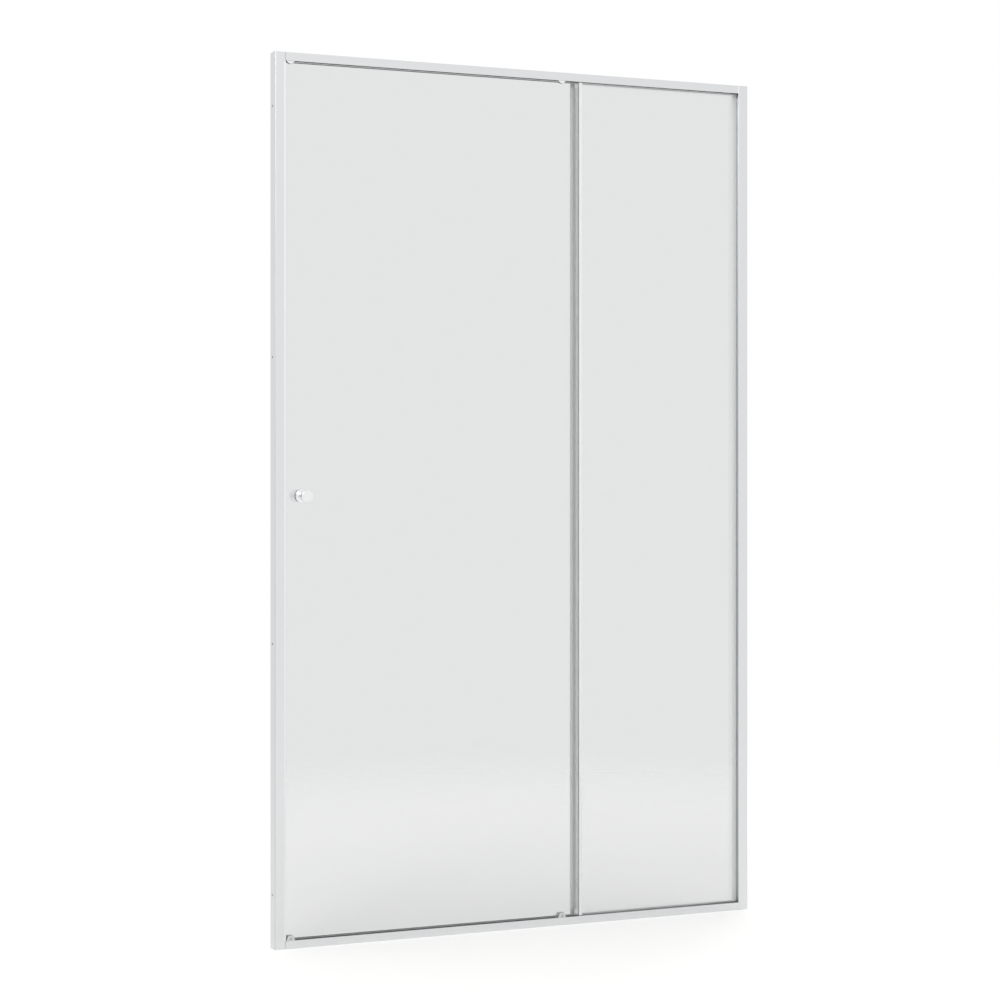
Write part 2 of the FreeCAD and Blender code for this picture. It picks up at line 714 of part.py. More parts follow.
def fixed_edge_seal():
    """Seal on the free edge of the fixed pane, with a hook that stops short to let the rollers pass."""
    piece = start("fixed_edge_seal")
    sketch = draw(piece, "XY_Plane", "seal_low_z")
    front, rear = "fixed_seat_front_y - seal_wall", "fixed_seat_rear_y + seal_wall"
    tip, nose, edge = "fixed_left_x + seal_grip", "fixed_left_x - seal_nose", "fixed_left_x - seat_gap"
    hook_y = "ridge_y"
    hook_x = "fixed_left_x - seal_nose + hook_reach"
    outline(sketch, [
        (tip, rear), (nose, rear), (nose, f"{hook_y} - hook_wall"), (hook_x, f"{hook_y} - hook_wall"),
        (hook_x, hook_y), (f"{nose} + hook_wall", hook_y), (f"{nose} + hook_wall", front), (tip, front),
        (tip, "fixed_seat_front_y"), (edge, "fixed_seat_front_y"),
        (edge, "fixed_seat_rear_y"), (tip, "fixed_seat_rear_y"),
    ])
    pad(piece, sketch, "seal_top_z - seal_low_z")
    round_edges(piece, "seal_wall / 2", upright_at(nose))
    hook_low, hook_top = "guide_top_z + hook_pass_gap", "hub_z - hub_radius - hook_pass_gap"
    for high, low in ((hook_low, "seal_low_z"), ("seal_top_z", hook_top)):
        clearance = draw(piece, "XY_Plane", high)
        block(clearance, f"{nose} - hook_wall", f"{hook_x} + hook_wall", f"{hook_y} - 2 * hook_wall", front)
        cut(piece, clearance, f"{high} - ({low})")


def track_stop(name, x_low):
    """Rubber stop that sits astride the ridge of the head track, in the path of a wheel."""
    piece = start(name)
    sketch = draw(piece, "YZ_Plane", x_low)
    inner, top = "ridge_radius + stop_slip", "flange_top_z + stop_height"
    front, rear = "wheel_front_y", "wheel_rear_y"
    outline(sketch, [
        (front, "flange_top_z"), (f"ridge_y - ({inner})", "flange_top_z"),
        (f"ridge_y - ({inner})", "head_ridge_z + stop_slip"),
        (f"ridge_y + {inner}", "head_ridge_z + stop_slip"), (f"ridge_y + {inner}", "flange_top_z"),
        (rear, "flange_top_z"), (rear, top), (front, top),
    ])
    pad(piece, sketch, "stop_length")


def wheel(name, x, z):
    """Grooved running wheel with a seat for its bearing and a recess for the axle head."""
    piece = start(name, x, "wheel_front_y", z)
    middle, seat_end = "wheel_width / 2", "bearing_recess + bearing_width"
    recess = "axle_head + head_recess_gap"
    turn(piece, [
        ("bearing_radius", "0"), ("wheel_radius", "0"),
        ("wheel_radius", f"{middle} - groove_mouth / 2"), ("groove_radius", f"{middle} - groove_floor / 2"),
        ("groove_radius", f"{middle} + groove_floor / 2"), ("wheel_radius", f"{middle} + groove_mouth / 2"),
        ("wheel_radius", "wheel_width"), (recess, "wheel_width"), (recess, seat_end),
        ("bearing_radius", seat_end),
    ])


def bearing(name, x, z):
    """Shielded ball bearing pressed into a wheel."""
    piece = start(name, x, "wheel_front_y + bearing_recess", z)
    outer = "bearing_radius - bearing_fit"
    inner_race, outer_race = "bearing_bore + bearing_race", f"{outer} - bearing_race"
    far = "bearing_width - bearing_shield"
    turn(piece, [
        ("bearing_bore", "0"), (inner_race, "0"), (inner_race, "bearing_shield"),
        (outer_race, "bearing_shield"), (outer_race, "0"), (outer, "0"),
        (outer, "bearing_width"), (outer_race, "bearing_width"), (outer_race, far),
        (inner_race, far), (inner_race, "bearing_width"), ("bearing_bore", "bearing_width"),
    ])


def axle(name, x, z, plate_front):
    """Shoulder screw from the wheel's rear, through the bearing, into the plate that carries it."""
    piece = start(name, x, "wheel_front_y", z)
    collar_end = "bearing_recess - axle_end_gap"
    head = "bearing_recess + bearing_width + axle_end_gap"
    plate_rear = "plunger_rear_y - wheel_front_y"
    turn(piece, [
        ("0", f"{plate_front} - wheel_front_y"), ("axle_radius", f"{plate_front} - wheel_front_y"),
        ("axle_radius", plate_rear), ("axle_collar", plate_rear), ("axle_collar", "0"),
        ("bearing_bore + bearing_race / 2", collar_end), ("axle_radius", collar_end),
        ("axle_radius", head), ("axle_head", head), ("axle_head", f"{head} + axle_head_rise"),
        ("0", f"{head} + axle_head_rise"),
    ])


def glass_bush(name, x, z, boss):
    """Sleeve that keeps a boss off the rim of its hole in the glass."""
    piece = start(name, x, "door_front_y", z)
    inner = f"{boss} + bush_slip"
    outer = f"{inner} + bush_wall"
    far = "glass_thick - bush_end_gap"
    turn(piece, [(inner, "bush_end_gap"), (outer, "bush_end_gap"), (outer, far), (inner, far)])


def top_roller(side, x):
    """Roller that hangs the door: an eccentric hub clamped through the glass carries the wheel."""
    hub = start(f"top_{side}_hub", x, "0", "hub_z")
    disc = draw(hub, "XZ_Plane", "-plunger_rear_y")
    ring(disc, "0", "0", "hub_radius")
    pad(hub, disc, "plunger_rear_y - door_seat_rear_y")
    bevel_edges(hub, "edge_round", lambda e: abs(e.BoundBox.YMin - value("plunger_rear_y")) < SAME)
    boss = draw(hub, "XZ_Plane", "-door_seat_rear_y")
    ring(boss, "0", "0", "hub_boss")
    pad(hub, boss, "glass_thick + seat_gap - bush_end_gap")
    thread = draw(hub, "XZ_Plane", "-door_front_y")
    ring(thread, "0", "0", "clamp_shank + screw_slip")
    cut(hub, thread, "glass_thick")
    pivot = draw(hub, "XZ_Plane", "-door_rear_y")
    ring(pivot, "0", "top_axle_z - hub_z", "axle_radius + screw_slip")
    cut(hub, pivot, "plunger_rear_y - door_rear_y")

    clamp = start(f"top_{side}_clamp_screw", x, "door_seat_front_y", "hub_z")
    turn(clamp, [
        ("0", "-clamp_head"), ("hub_radius - clamp_head / 2", "-clamp_head"),
        ("hub_radius", "-clamp_head / 2"), ("hub_radius", "0"), ("clamp_shank", "0"),
        ("clamp_shank", "glass_thick - bush_end_gap"), ("0", "glass_thick - bush_end_gap"),
    ])
    key = draw(clamp, "XZ_Plane", "clamp_head")
    ring(key, "0", "0", "clamp_key")
    cut(clamp, key, "clamp_key_depth")

    glass_bush(f"top_{side}_glass_bush", x, "hub_z", "hub_boss")
    wheel(f"top_{side}_wheel", x, "top_axle_z")
    bearing(f"top_{side}_bearing", x, "top_axle_z")
    axle(f"top_{side}_axle", x, "top_axle_z", "door_seat_rear_y")


def gable(sketch, half_width, top_half_width, low, shoulder, top):
    """Draw an upright outline whose top narrows like a gable."""
    outline(sketch, [
        (f"-({half_width})", low), (half_width, low), (half_width, shoulder),
        (top_half_width, top), (f"-({top_half_width})", top), (f"-({half_width})", shoulder),
    ])


def level_edges_above(z):
    """Test for the edges through a plate's thickness that lie above a level."""
    low = value(z)

    def wanted(edge):
        box = edge.BoundBox
        return box.ZMin > low and box.XLength + box.ZLength < SAME

    return wanted


def guide_housing(name, x):
    """Moulded housing behind the glass: a base plate, side walls, a roof and a half back wall."""
    piece = start(name, x)
    low_back = "divider_front_y - guide_sill_gap"
    back = "wheel_rear_y + guide_back_slip + guide_shoulder"
    body = draw(piece, "XZ_Plane", f"-({low_back})")
    gable(body, "guide_half_width", "guide_top_half_width", "guide_low_z", "guide_z", "guide_top_z")
    pad(piece, body, f"({low_back}) - door_seat_rear_y")
    hood = draw(piece, "XZ_Plane", f"-({back})")
    gable(hood, "guide_half_width", "guide_top_half_width", "sill_face + guide_shoulder", "guide_z",
          "guide_top_z")
    pad(piece, hood, f"({back}) - ({low_back})")
    round_edges(piece, "guide_round", level_edges_above("guide_z - guide_round"))
    hollow = draw(piece, "XZ_Plane", "-carrier_rear_y")
    gable(hollow, "guide_half_width - guide_wall", "guide_top_half_width - guide_wall",
          "guide_low_z - guide_wall", "guide_z - guide_wall / 2", "guide_top_z - guide_wall")
    cut(piece, hollow, "wheel_rear_y + guide_back_slip - carrier_rear_y")
    boss = draw(piece, "XZ_Plane", "-door_seat_rear_y")
    ring(boss, "0", "guide_z", "guide_boss")
    pad(piece, boss, "glass_thick + seat_gap - bush_end_gap")
    thread = draw(piece, "XZ_Plane", "-door_front_y")
    ring(thread, "0", "guide_z", "cover_screw_radius + screw_slip")
    cut(piece, thread, "glass_thick + carrier_plate / 2")


def guide_cover(name, x):
    """Front plate of a guide, held against the glass by one countersunk screw."""
    piece = start(name, x)
    plate = draw(piece, "XZ_Plane", "-door_seat_front_y")
    gable(plate, "guide_half_width", "cover_top_half_width", "guide_low_z", "sill_face", "guide_top_z")
    pad(piece, plate, "clamp_head")
    round_edges(piece, "guide_round", level_edges_above("sill_face - guide_round"))
    bevel_edges(piece, "clamp_head / 3",
                lambda e: abs(e.BoundBox.YMax - value("door_seat_front_y - clamp_head")) < SAME)
    seat = draw(piece, "XZ_Plane", "clamp_head - door_seat_front_y")
    ring(seat, "0", "guide_z", "cover_screw_head + screw_slip")
    cut(piece, seat, "cover_screw_sink")
    hole = draw(piece, "XZ_Plane", "clamp_head - door_seat_front_y")
    ring(hole, "0", "guide_z", "cover_screw_radius + screw_slip")
    cut(piece, hole, "clamp_head")


def cover_screw(name, x):
    """Pan-head screw sunk into a guide's cover, through the glass into the housing."""
    piece = start(name, x, "door_seat_front_y", "guide_z")
    seat = "cover_screw_sink - clamp_head"
    turn(piece, [
        ("0", f"{seat} - cover_screw_sink + screw_slip"),
        ("cover_screw_head - cover_screw_sink / 2", f"{seat} - cover_screw_sink + screw_slip"),
        ("cover_screw_head", seat + " - cover_screw_sink / 2"), ("cover_screw_head", seat),
        ("cover_screw_radius", seat), ("cover_screw_radius", "glass_thick"), ("0", "glass_thick"),
    ])


def guide_plunger(name, x):
    """Sliding plate that carries a bottom wheel, with a shelf over the wheel for the spring."""
    piece = start(name, x)
    half_width = "guide_half_width - guide_wall - plunger_side_slip"
    shelf_top = "guide_shelf_z + shelf_wall"
    plate = draw(piece, "XZ_Plane", "-plunger_rear_y")
    gable(plate, half_width, "plunger_top_half_width", "bottom_axle_z - plunger_foot",
          "guide_z - guide_travel - guide_wall", shelf_top)
    pad(piece, plate, "plunger_plate")
    shelf = draw(piece, "XZ_Plane", "-wheel_rear_y")
    block(shelf, "-shelf_half_width", "shelf_half_width", "guide_shelf_z", shelf_top)
    pad(piece, shelf, "wheel_rear_y - plunger_rear_y")
    pivot = draw(piece, "XZ_Plane", "-plunger_front_y")
    ring(pivot, "0", "bottom_axle_z", "axle_radius + screw_slip")
    cut(piece, pivot, "plunger_plate")


def guide_spring(name, x):
    """Compression spring between the plunger's shelf and the roof of the housing."""
    piece = start(name, x, "ridge_y", "guide_shelf_z + shelf_wall + spring_wire + spring_seat_gap")
    sketch = draw(piece, "XZ_Plane")
    ring(sketch, "spring_radius", "0", "spring_wire")
    coil = piece.newObject("PartDesign::AdditiveHelix", name + "_coil")
    coil.Profile = sketch
    coil.ReferenceAxis = (sketch, ["V_Axis"])
    coil.Mode = "height-turns-angle"
    room = "guide_top_z - guide_wall - guide_shelf_z - shelf_wall"
    coil.setExpression("Height", formula(f"{room} - 2 * spring_wire - 2 * spring_seat_gap"))
    coil.setExpression("Turns", formula("spring_turns"))
    piece.Tip = coil
    doc.recompute()


def bottom_guide(side, x):
    """Sprung guide of the door's lower edge."""
    guide_housing(f"bottom_{side}_housing", x)
    guide_cover(f"bottom_{side}_cover", x)
    cover_screw(f"bottom_{side}_cover_screw", x)
    glass_bush(f"bottom_{side}_glass_bush", x, "guide_z", "guide_boss")
    guide_plunger(f"bottom_{side}_plunger", x)
    guide_spring(f"bottom_{side}_spring", x)
    wheel(f"bottom_{side}_wheel", x, "bottom_axle_z")
    bearing(f"bottom_{side}_bearing", x, "bottom_axle_z")
    axle(f"bottom_{side}_axle", x, "bottom_axle_z", "plunger_front_y")


def knob(name, face_y, outward):
    """Turned knob: rose, a neck that flares into a flat-faced head, bored for the stud."""
    piece = start(name, "knob_x", f"{face_y} {outward} knob_washer_wall", "knob_height")
    neck_end = "rose_wall + neck_length"
    flare_end = f"{neck_end} + knob_flare"
    face = f"{flare_end} + knob_rim"
    bore, depth = "knob_stud_radius + screw_slip", "knob_stud_grip"
    profile = [
        (bore, "0"), ("rose_radius", "0"), ("rose_radius", "rose_wall / 2"),
        ("rose_radius - rose_wall / 2", "rose_wall"), ("neck_radius", "rose_wall"),
        ("neck_radius", neck_end), ("knob_radius", flare_end),
        ("knob_radius", f"{face} - knob_chamfer"), ("knob_radius - knob_chamfer", face), ("0", face),
        ("0", depth), (bore, depth),
    ]
    turn(piece, [(radius, f"{outward}({along})") for radius, along in profile])
    round_edges(piece, "neck_round", circles_at(f"{outward}({neck_end})", f"{outward}({flare_end})"))


def circles_at(*levels):
    """Test for the circles of a turned piece that lie at some distances along its axis."""
    depths = [value(level) for level in levels]

    def wanted(edge):
        box = edge.BoundBox
        return box.YLength < SAME and any(abs(box.Center.y - depth) < SAME for depth in depths)

    return wanted


def knobs():
    """Knob on each side of the glass, their stud, its bush and the soft washers."""
    knob("knob_front", "door_seat_front_y", "-")
    knob("knob_back", "door_seat_rear_y", "+")
    stud = start("knob_stud", "knob_x", "door_front_y", "knob_height")
    reach = "knob_washer_wall + knob_stud_grip - bush_end_gap"
    turn(stud, [
        ("0", f"-({reach})"), ("knob_stud_radius", f"-({reach})"),
        ("knob_stud_radius", f"glass_thick + {reach}"), ("0", f"glass_thick + {reach}"),
    ])
    glass_bush("knob_bush", "knob_x", "knob_height", "knob_stud_radius")
    washers = []
    faces = (("door_seat_front_y", "-knob_washer_wall", "0"), ("door_seat_rear_y", "0", "knob_washer_wall"))
    for face, low, high in faces:
        washer = start(f"knob_washer_{len(washers) + 1}", "knob_x", face, "knob_height", listed=False)
        bore = "knob_stud_radius + screw_slip"
        turn(washer, [(bore, low), ("knob_washer_radius", low), ("knob_washer_radius", high), (bore, high)])
        washers.append(washer)
    group("knob_washers", washers)


def write_parts():
    """See that every object is sound, then write one file for each sub-part."""
    doc.recompute()
    for thing in doc.Objects:
        if "Invalid" in thing.State or "Error" in thing.State:
            raise ValueError(f"{thing.Label} failed: {thing.State}")
    for piece in sub_parts:
        if piece.Shape.isNull() or not piece.Shape.isValid():
            raise ValueError(f"{piece.Label} has no sound shape")
    os.makedirs("parts", exist_ok=True)
    for piece in sub_parts:
        piece.Shape.exportStep(f"parts/{piece.Label}.step")
    print(len(sub_parts), "sub-parts written")


for wall_side in ("left", "right"):
    wall_channel(wall_side)
    jamb(wall_side)
head_rail()
sill_rail()
corner_screws()
jamb_screws()
fixed_glass()
fixed_gaskets()
fixed_edge_seal()
strike_seal()
track_stop("closed_stop", "closed_stop_x")
track_stop("open_stop", "open_stop_x")
door_glass()
leading_edge_seal()
trailing_edge_seal()
for roller_side in ("left", "right"):
    top_roller(roller_side, f"roller_{roller_side}_x")
    bottom_guide(roller_side, f"roller_{roller_side}_x")
knobs()
write_parts()
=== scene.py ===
"""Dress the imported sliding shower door: finishes, seals, fittings, stage and camera."""
import json
import math

import bmesh
import bpy
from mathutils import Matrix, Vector

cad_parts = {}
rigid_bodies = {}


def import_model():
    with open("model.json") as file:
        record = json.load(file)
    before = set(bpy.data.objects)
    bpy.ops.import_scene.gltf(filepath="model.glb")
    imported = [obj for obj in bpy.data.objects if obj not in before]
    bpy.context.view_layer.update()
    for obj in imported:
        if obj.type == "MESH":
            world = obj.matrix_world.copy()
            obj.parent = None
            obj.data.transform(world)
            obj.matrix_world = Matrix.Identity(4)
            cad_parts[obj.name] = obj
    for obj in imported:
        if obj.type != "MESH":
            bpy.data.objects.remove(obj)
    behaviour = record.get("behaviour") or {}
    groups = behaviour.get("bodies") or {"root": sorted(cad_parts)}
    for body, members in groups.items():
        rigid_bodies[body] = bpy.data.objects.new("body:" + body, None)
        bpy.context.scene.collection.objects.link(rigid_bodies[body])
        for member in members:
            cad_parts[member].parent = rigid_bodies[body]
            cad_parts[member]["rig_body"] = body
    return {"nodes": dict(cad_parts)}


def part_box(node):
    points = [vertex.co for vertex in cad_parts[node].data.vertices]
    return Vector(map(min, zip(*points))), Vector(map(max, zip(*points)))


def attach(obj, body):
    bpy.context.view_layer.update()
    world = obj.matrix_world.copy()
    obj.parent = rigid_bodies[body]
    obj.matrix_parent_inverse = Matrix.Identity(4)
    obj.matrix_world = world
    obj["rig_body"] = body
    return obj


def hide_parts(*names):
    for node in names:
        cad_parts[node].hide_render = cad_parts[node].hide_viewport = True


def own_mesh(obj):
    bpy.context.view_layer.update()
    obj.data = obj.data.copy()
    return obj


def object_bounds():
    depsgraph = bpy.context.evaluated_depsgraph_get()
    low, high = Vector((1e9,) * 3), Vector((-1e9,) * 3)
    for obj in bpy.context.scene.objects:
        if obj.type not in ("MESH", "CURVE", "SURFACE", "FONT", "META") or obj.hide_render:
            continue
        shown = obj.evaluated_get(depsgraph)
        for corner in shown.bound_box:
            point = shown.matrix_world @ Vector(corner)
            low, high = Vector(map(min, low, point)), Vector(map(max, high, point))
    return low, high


bl_info = {
    "name": "Sliding Shower Door",
    "version": (1, 0, 0),
    "blender": (4, 5, 0),
    "location": "View3D > Sidebar > Shower Door",
    "description": "Finishes, seals and fittings of a framed sliding shower door",
    "category": "Object",
}

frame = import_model()
CAD_LOW, CAD_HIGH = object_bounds()

MM = 0.001
SIDES = ("left", "right")
X_AXIS, Y_AXIS, Z_AXIS = Vector((1, 0, 0)), Vector((0, 1, 0)), Vector((0, 0, 1))

# Turned pieces get this many sides, small screws fewer
TURNED_SIDES = 96
SCREW_SIDES = 36

# Edges that bend more than this stay crisp when a piece is shaded smooth
CRISP_ANGLE = math.radians(35)

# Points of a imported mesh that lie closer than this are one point
WELD = 0.001 * MM

# Room for rounding where faces are told apart by their place
PLAY = 0.01 * MM

# A rounded corner takes at most this share of the shorter side beside it
CORNER_SHARE = 0.45


def linear(hex_colour):
    """Turn an sRGB hex colour into the linear values that shaders use."""
    channels = (int(hex_colour[i:i + 2], 16) / 255 for i in (1, 3, 5))
    return tuple(c / 12.92 if c <= 0.04045 else ((c + 0.055) / 1.055) ** 2.4 for c in channels)


def colour(name, description, hex_colour):
    """Property that holds the colour of a finish."""
    return bpy.props.FloatVectorProperty(
        name=name, description=description, subtype="COLOR", size=3, min=0.0, max=1.0,
        default=linear(hex_colour))


def length(name, description, millimetres):
    """Property that holds a real size, given in millimetres and kept in metres."""
    return bpy.props.FloatProperty(
        name=name, description=description, unit="LENGTH", min=0.0, precision=5,
        default=millimetres * MM)


class ShowerDoorFinishes(bpy.types.PropertyGroup):
    """Colours of the door's finishes."""

    aluminium: colour("Aluminium", "Satin anodised jambs and rails", "#DEDFE0")
    channel: colour("Wall channel", "Satin anodised wall channels", "#D6D7D8")
    # The glass colour is partly a light tint of its own and partly painted shade: it is darker than the
    # glass is, standing in for dim surroundings seen through the panes.
    glass: colour("Glass", "Tint of the glass", "#E2E3E3")
    seal: colour("Edge seals", "Clip-on seals of the panes and strike seal", "#F8F9F9")
    fin: colour("Seal fins", "Clear soft fins of the hooked seals", "#FDFDFD")
    gasket: colour("Gaskets", "Glazing gaskets", "#F8F9F9")
    stop: colour("Track stops", "Rubber stops in the head track", "#2A2A2B")
    chrome: colour("Chrome", "Chrome plate of knobs and clamp screws", "#EDEEEF")
    steel: colour("Stainless steel", "Screws, axles, stud, springs and bearings", "#BDBDBC")
    zinc: colour("Zinc", "Die-cast roller hubs", "#B6B8BA")
    moulding: colour("Guide mouldings", "Housings and covers of the bottom guides", "#DCDDDD")
    acetal: colour("Plungers", "Sprung plungers of the bottom guides", "#C4C5C6")
    nylon: colour("Wheels", "Running wheels", "#EFEFEA")
    washer: colour("Washers", "Soft washers and bushes at the glass", "#E4E6E6")
    cap: colour("Screw caps", "Push-on caps of the jamb screws", "#E2E2E1")
    floor: colour("Floor", "Studio floor", "#F3F3F2")


class ShowerDoorSizes(bpy.types.PropertyGroup):
    """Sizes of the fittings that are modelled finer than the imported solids."""

    seal_wall: length("Seal wall", "Wall of the clip-on seals", 0.8)
    seal_grip: length("Seal grip", "Reach of a clip-on seal over the glass", 7.0)
    seal_nose: length("Seal nose", "Reach of a clip-on seal past the edge of the glass", 1.3)
    seal_round: length("Seal rounding", "Rounding of the hooked seals' corners", 0.35)
    hook_wall: length("Hook wall", "Wall of the hooks that close the gap between the panes", 1.2)
    hook_root: length("Hook root", "White part of the fixed pane's hook, from its nose", 7.8)
    hook_pass: length("Hook clearance", "Room for the fittings that pass the fixed pane's hook", 6.0)
    strike_base: length("Strike base", "Thickness of the strike seal's strip under its buffer", 1.0)
    lip_reach: length("Jamb lip reach", "Reach of a jamb's front lip from its web", 9.8)
    lip_wall: length("Jamb lip wall", "Wall of a jamb's front lip", 1.6)
    lip_cover: length("Lip cover", "Width of the strike seal's lap over the lip", 3.4)
    fin_wall: length("Jamb fin wall", "Wall of the fin that holds a gasket", 1.4)
    fin_cover: length("Fin cover", "Width of the jamb gasket's lap over the fin", 10.2)
    lap_wall: length("Lap wall", "Wall of the seals where they lap a jamb", 0.45)
    lap_bead: length("Lap bead", "Wall of the bead at the tip of a lap", 0.75)
    seat_gap: length("Seat gap", "Play between the glass and what sits on it", 0.05)
    gasket_lip: length("Gasket lip", "Rounding of a gasket's legs", 0.5)
    gasket_set: length("Gasket set-back", "Set-back of the jamb gasket's rear leg from its front leg", 4.0)
    knob_neck: length("Knob neck", "Radius of the neck", 8.85)
    knob_rose: length("Knob rose", "Thickness of the rose against the glass", 3.0)
    knob_flare: length("Knob flare", "Length over which the neck widens into the head", 9.0)
    knob_rim: length("Knob rim", "Length of the head's straight rim", 11.0)
    knob_edge: length("Knob edge", "Rounding of the head's face", 1.6)
    knob_inset: length("Knob inset", "Inset of the head's rim from the rim of the washers", 0.25)
    knob_hold: length("Knob hold", "Distance past the flare of the ring that keeps the rim straight", 1.0)
    knob_dish: length("Knob dish", "Depth of the dish in the head's face", 0.4)
    clamp_shank: length("Clamp shank", "Radius of the clamp screws' shank", 2.5)
    clamp_edge: length("Clamp edge", "Rounding of the clamp screws' head and tip", 0.5)
    socket_depth: length("Socket depth", "Depth of the clamp screws' hexagon socket", 1.1)
    socket_reach: length("Socket reach", "Radius of the hexagon socket at its corners", 2.3)
    cover_head: length("Cover screw head", "Rise of the cover screws' head", 1.1)
    cover_shank: length("Cover screw shank", "Radius of the cover screws' shank", 1.5)
    cross_reach: length("Cross reach", "Half length of the cover screws' cross recess", 1.5)
    cross_half: length("Cross width", "Half width of the cover screws' cross recess", 0.35)
    cross_depth: length("Cross depth", "Depth of the cover screws' cross recess", 0.7)
    jamb_head: length("Jamb screw head", "Rise of the jamb screws' head", 1.8)
    jamb_shank: length("Jamb screw shank", "Radius of the jamb screws' shank", 1.75)
    corner_head: length("Corner screw head", "Rise of the corner screws' head", 2.2)
    corner_shank: length("Corner screw shank", "Radius of the corner screws' shank", 1.6)
    cap_wall: length("Cap wall", "Wall of the screw caps", 0.8)
    thread_pitch: length("Thread pitch", "Pitch of the self-tapping screws", 1.3)
    thread_depth: length("Thread depth", "Depth of the self-tapping thread", 0.35)
    spring_wire: length("Spring wire", "Radius of the guide springs' wire", 0.2)
    stop_slot: length("Stop slot", "Half width of the slot that sits astride the ridge", 1.2)
    stop_roof: length("Stop roof", "Height of the slot in a track stop", 2.2)
    stop_round: length("Stop rounding", "Rounding of the track stops' corners", 0.6)
    floor_radius: length("Floor radius", "Radius of the studio floor", 3600.0)
    floor_drop: length("Floor drop", "Drop of the studio floor below the door's foot", 0.2)


# Shader nodes

# Sockets of a colour mix: its two colours, and its result among the outputs
MIX_FIRST, MIX_SECOND, MIX_RESULT = 6, 7, 2


def add(tree, kind, inputs=None, **settings):
    """Add a node, set it up, and give its inputs their values or links."""
    node = tree.nodes.new(kind)
    for key, value in settings.items():
        setattr(node, key, value)
    for socket, source in (inputs or {}).items():
        if isinstance(source, bpy.types.NodeSocket):
            tree.links.new(source, node.inputs[socket])
        else:
            node.inputs[socket].default_value = source
    return node


def opaque(rgb):
    """Colour of a socket from three linear values."""
    return (*rgb, 1.0)


def start_finish(name, values):
    """New material whose shader has these values on its own sockets."""
    material = bpy.data.materials.new(name)
    material.use_nodes = True
    shader = material.node_tree.nodes["Principled BSDF"]
    for socket, value in values.items():
        shader.inputs[socket].default_value = value
    return material, material.node_tree, shader


def grain(tree, size_mm, detail=2.0):
    """Noise whose grains have a real size along X, Y and Z."""
    place = add(tree, "ShaderNodeTexCoord")
    fit = add(tree, "ShaderNodeMapping", {
        "Vector": place.outputs["Object"], "Scale": [1 / (size * MM) for size in size_mm]})
    noise = add(tree, "ShaderNodeTexNoise", {
        "Vector": fit.outputs["Vector"], "Scale": 1.0, "Detail": detail})
    return noise.outputs["Fac"]


def finish_surface(tree, shader, rgb, pattern, roughness, relief_mm, shade=0.95):
    """Let one pattern drive the colour, the gloss and the relief of a surface."""
    darker = [shade * c for c in rgb]
    tone = add(tree, "ShaderNodeMix", {
        "Factor": pattern, MIX_FIRST: opaque(darker), MIX_SECOND: opaque(rgb)}, data_type="RGBA")
    gloss = add(tree, "ShaderNodeMapRange", {
        "Value": pattern, "To Min": roughness[0], "To Max": roughness[1]})
    relief = add(tree, "ShaderNodeBump", {
        "Height": pattern, "Distance": relief_mm * MM, "Strength": 0.6})
    tree.links.new(tone.outputs[MIX_RESULT], shader.inputs["Base Color"])
    tree.links.new(gloss.outputs["Result"], shader.inputs["Roughness"])
    tree.links.new(relief.outputs["Normal"], shader.inputs["Normal"])


def anodised_aluminium(name, rgb, run):
    """Extruded aluminium, etched and clear anodised: bright and satin, with faint die lines.

    Real die lines are about 0.3 mm apart and don't show; they are drawn 2.5 mm wide.
    """
    material, tree, shader = start_finish(name, {"Metallic": 1.0})
    across, along = 2.5, 900.0
    size = [along if axis == run else across for axis in "XYZ"]
    lines = grain(tree, size)
    finish_surface(tree, shader, rgb, lines, roughness=(0.30, 0.42), relief_mm=0.004, shade=0.97)
    return material


def toughened_glass(name, rgb):
    """Toughened float glass: polished, with the slow ripple that the furnace rollers leave."""
    # The grey base colour is partly the glass's light tint and partly painted shade for the dim
    # surroundings seen through it.
    material, tree, shader = start_finish(name, {
        "Base Color": opaque(rgb), "Roughness": 0.0, "IOR": 1.52, "Transmission Weight": 1.0})
    waves = grain(tree, (260.0, 260.0, 340.0), detail=1.0)
    ripple = add(tree, "ShaderNodeBump", {"Height": waves, "Distance": 0.05 * MM, "Strength": 0.5})
    tree.links.new(ripple.outputs["Normal"], shader.inputs["Normal"])
    return material


def soft_pvc(name, rgb):
    """Extruded soft PVC: milky, so that light spreads inside it, with flow lines along its length."""
    material, tree, shader = start_finish(name, {
        "IOR": 1.53, "Subsurface Weight": 1.0, "Subsurface Radius": (1.0, 1.0, 1.0),
        "Subsurface Scale": 0.8 * MM})
    lines = grain(tree, (1.5, 1.5, 240.0))
    finish_surface(tree, shader, rgb, lines, roughness=(0.28, 0.40), relief_mm=0.01)
    return material


def clear_pvc(name, rgb):
    """Clear soft PVC from a polished die: nearly as clear as the glass, with faint flow lines."""
    material, tree, shader = start_finish(name, {"IOR": 1.53, "Transmission Weight": 1.0})
    lines = grain(tree, (1.5, 1.5, 240.0))
    finish_surface(tree, shader, rgb, lines, roughness=(0.03, 0.08), relief_mm=0.004, shade=0.98)
    return material


def extruded_rubber(name, rgb):
    """Extruded or moulded rubber: dull, with the fine matt skin of a filled compound."""
    material, tree, shader = start_finish(name, {"IOR": 1.52})
    skin = grain(tree, (0.8, 0.8, 0.8), detail=4.0)
    finish_surface(tree, shader, rgb, skin, roughness=(0.55, 0.72), relief_mm=0.03, shade=0.9)
    return material


def chrome_plate(name, rgb):
    """Bright chrome plate over polished brass: mirror-like, with faint buffing marks."""
    material, tree, shader = start_finish(name, {"Metallic": 1.0})
    buffing = grain(tree, (4.0, 4.0, 4.0), detail=3.0)
    finish_surface(tree, shader, rgb, buffing, roughness=(0.04, 0.10), relief_mm=0.002, shade=0.98)
    return material


def stainless_steel(name, rgb):
    """Turned or drawn stainless steel: grey, half bright, with fine tool marks."""
    material, tree, shader = start_finish(name, {"Metallic": 1.0})
    marks = grain(tree, (0.6, 0.25, 0.6))
    finish_surface(tree, shader, rgb, marks, roughness=(0.22, 0.38), relief_mm=0.008, shade=0.85)
    return material


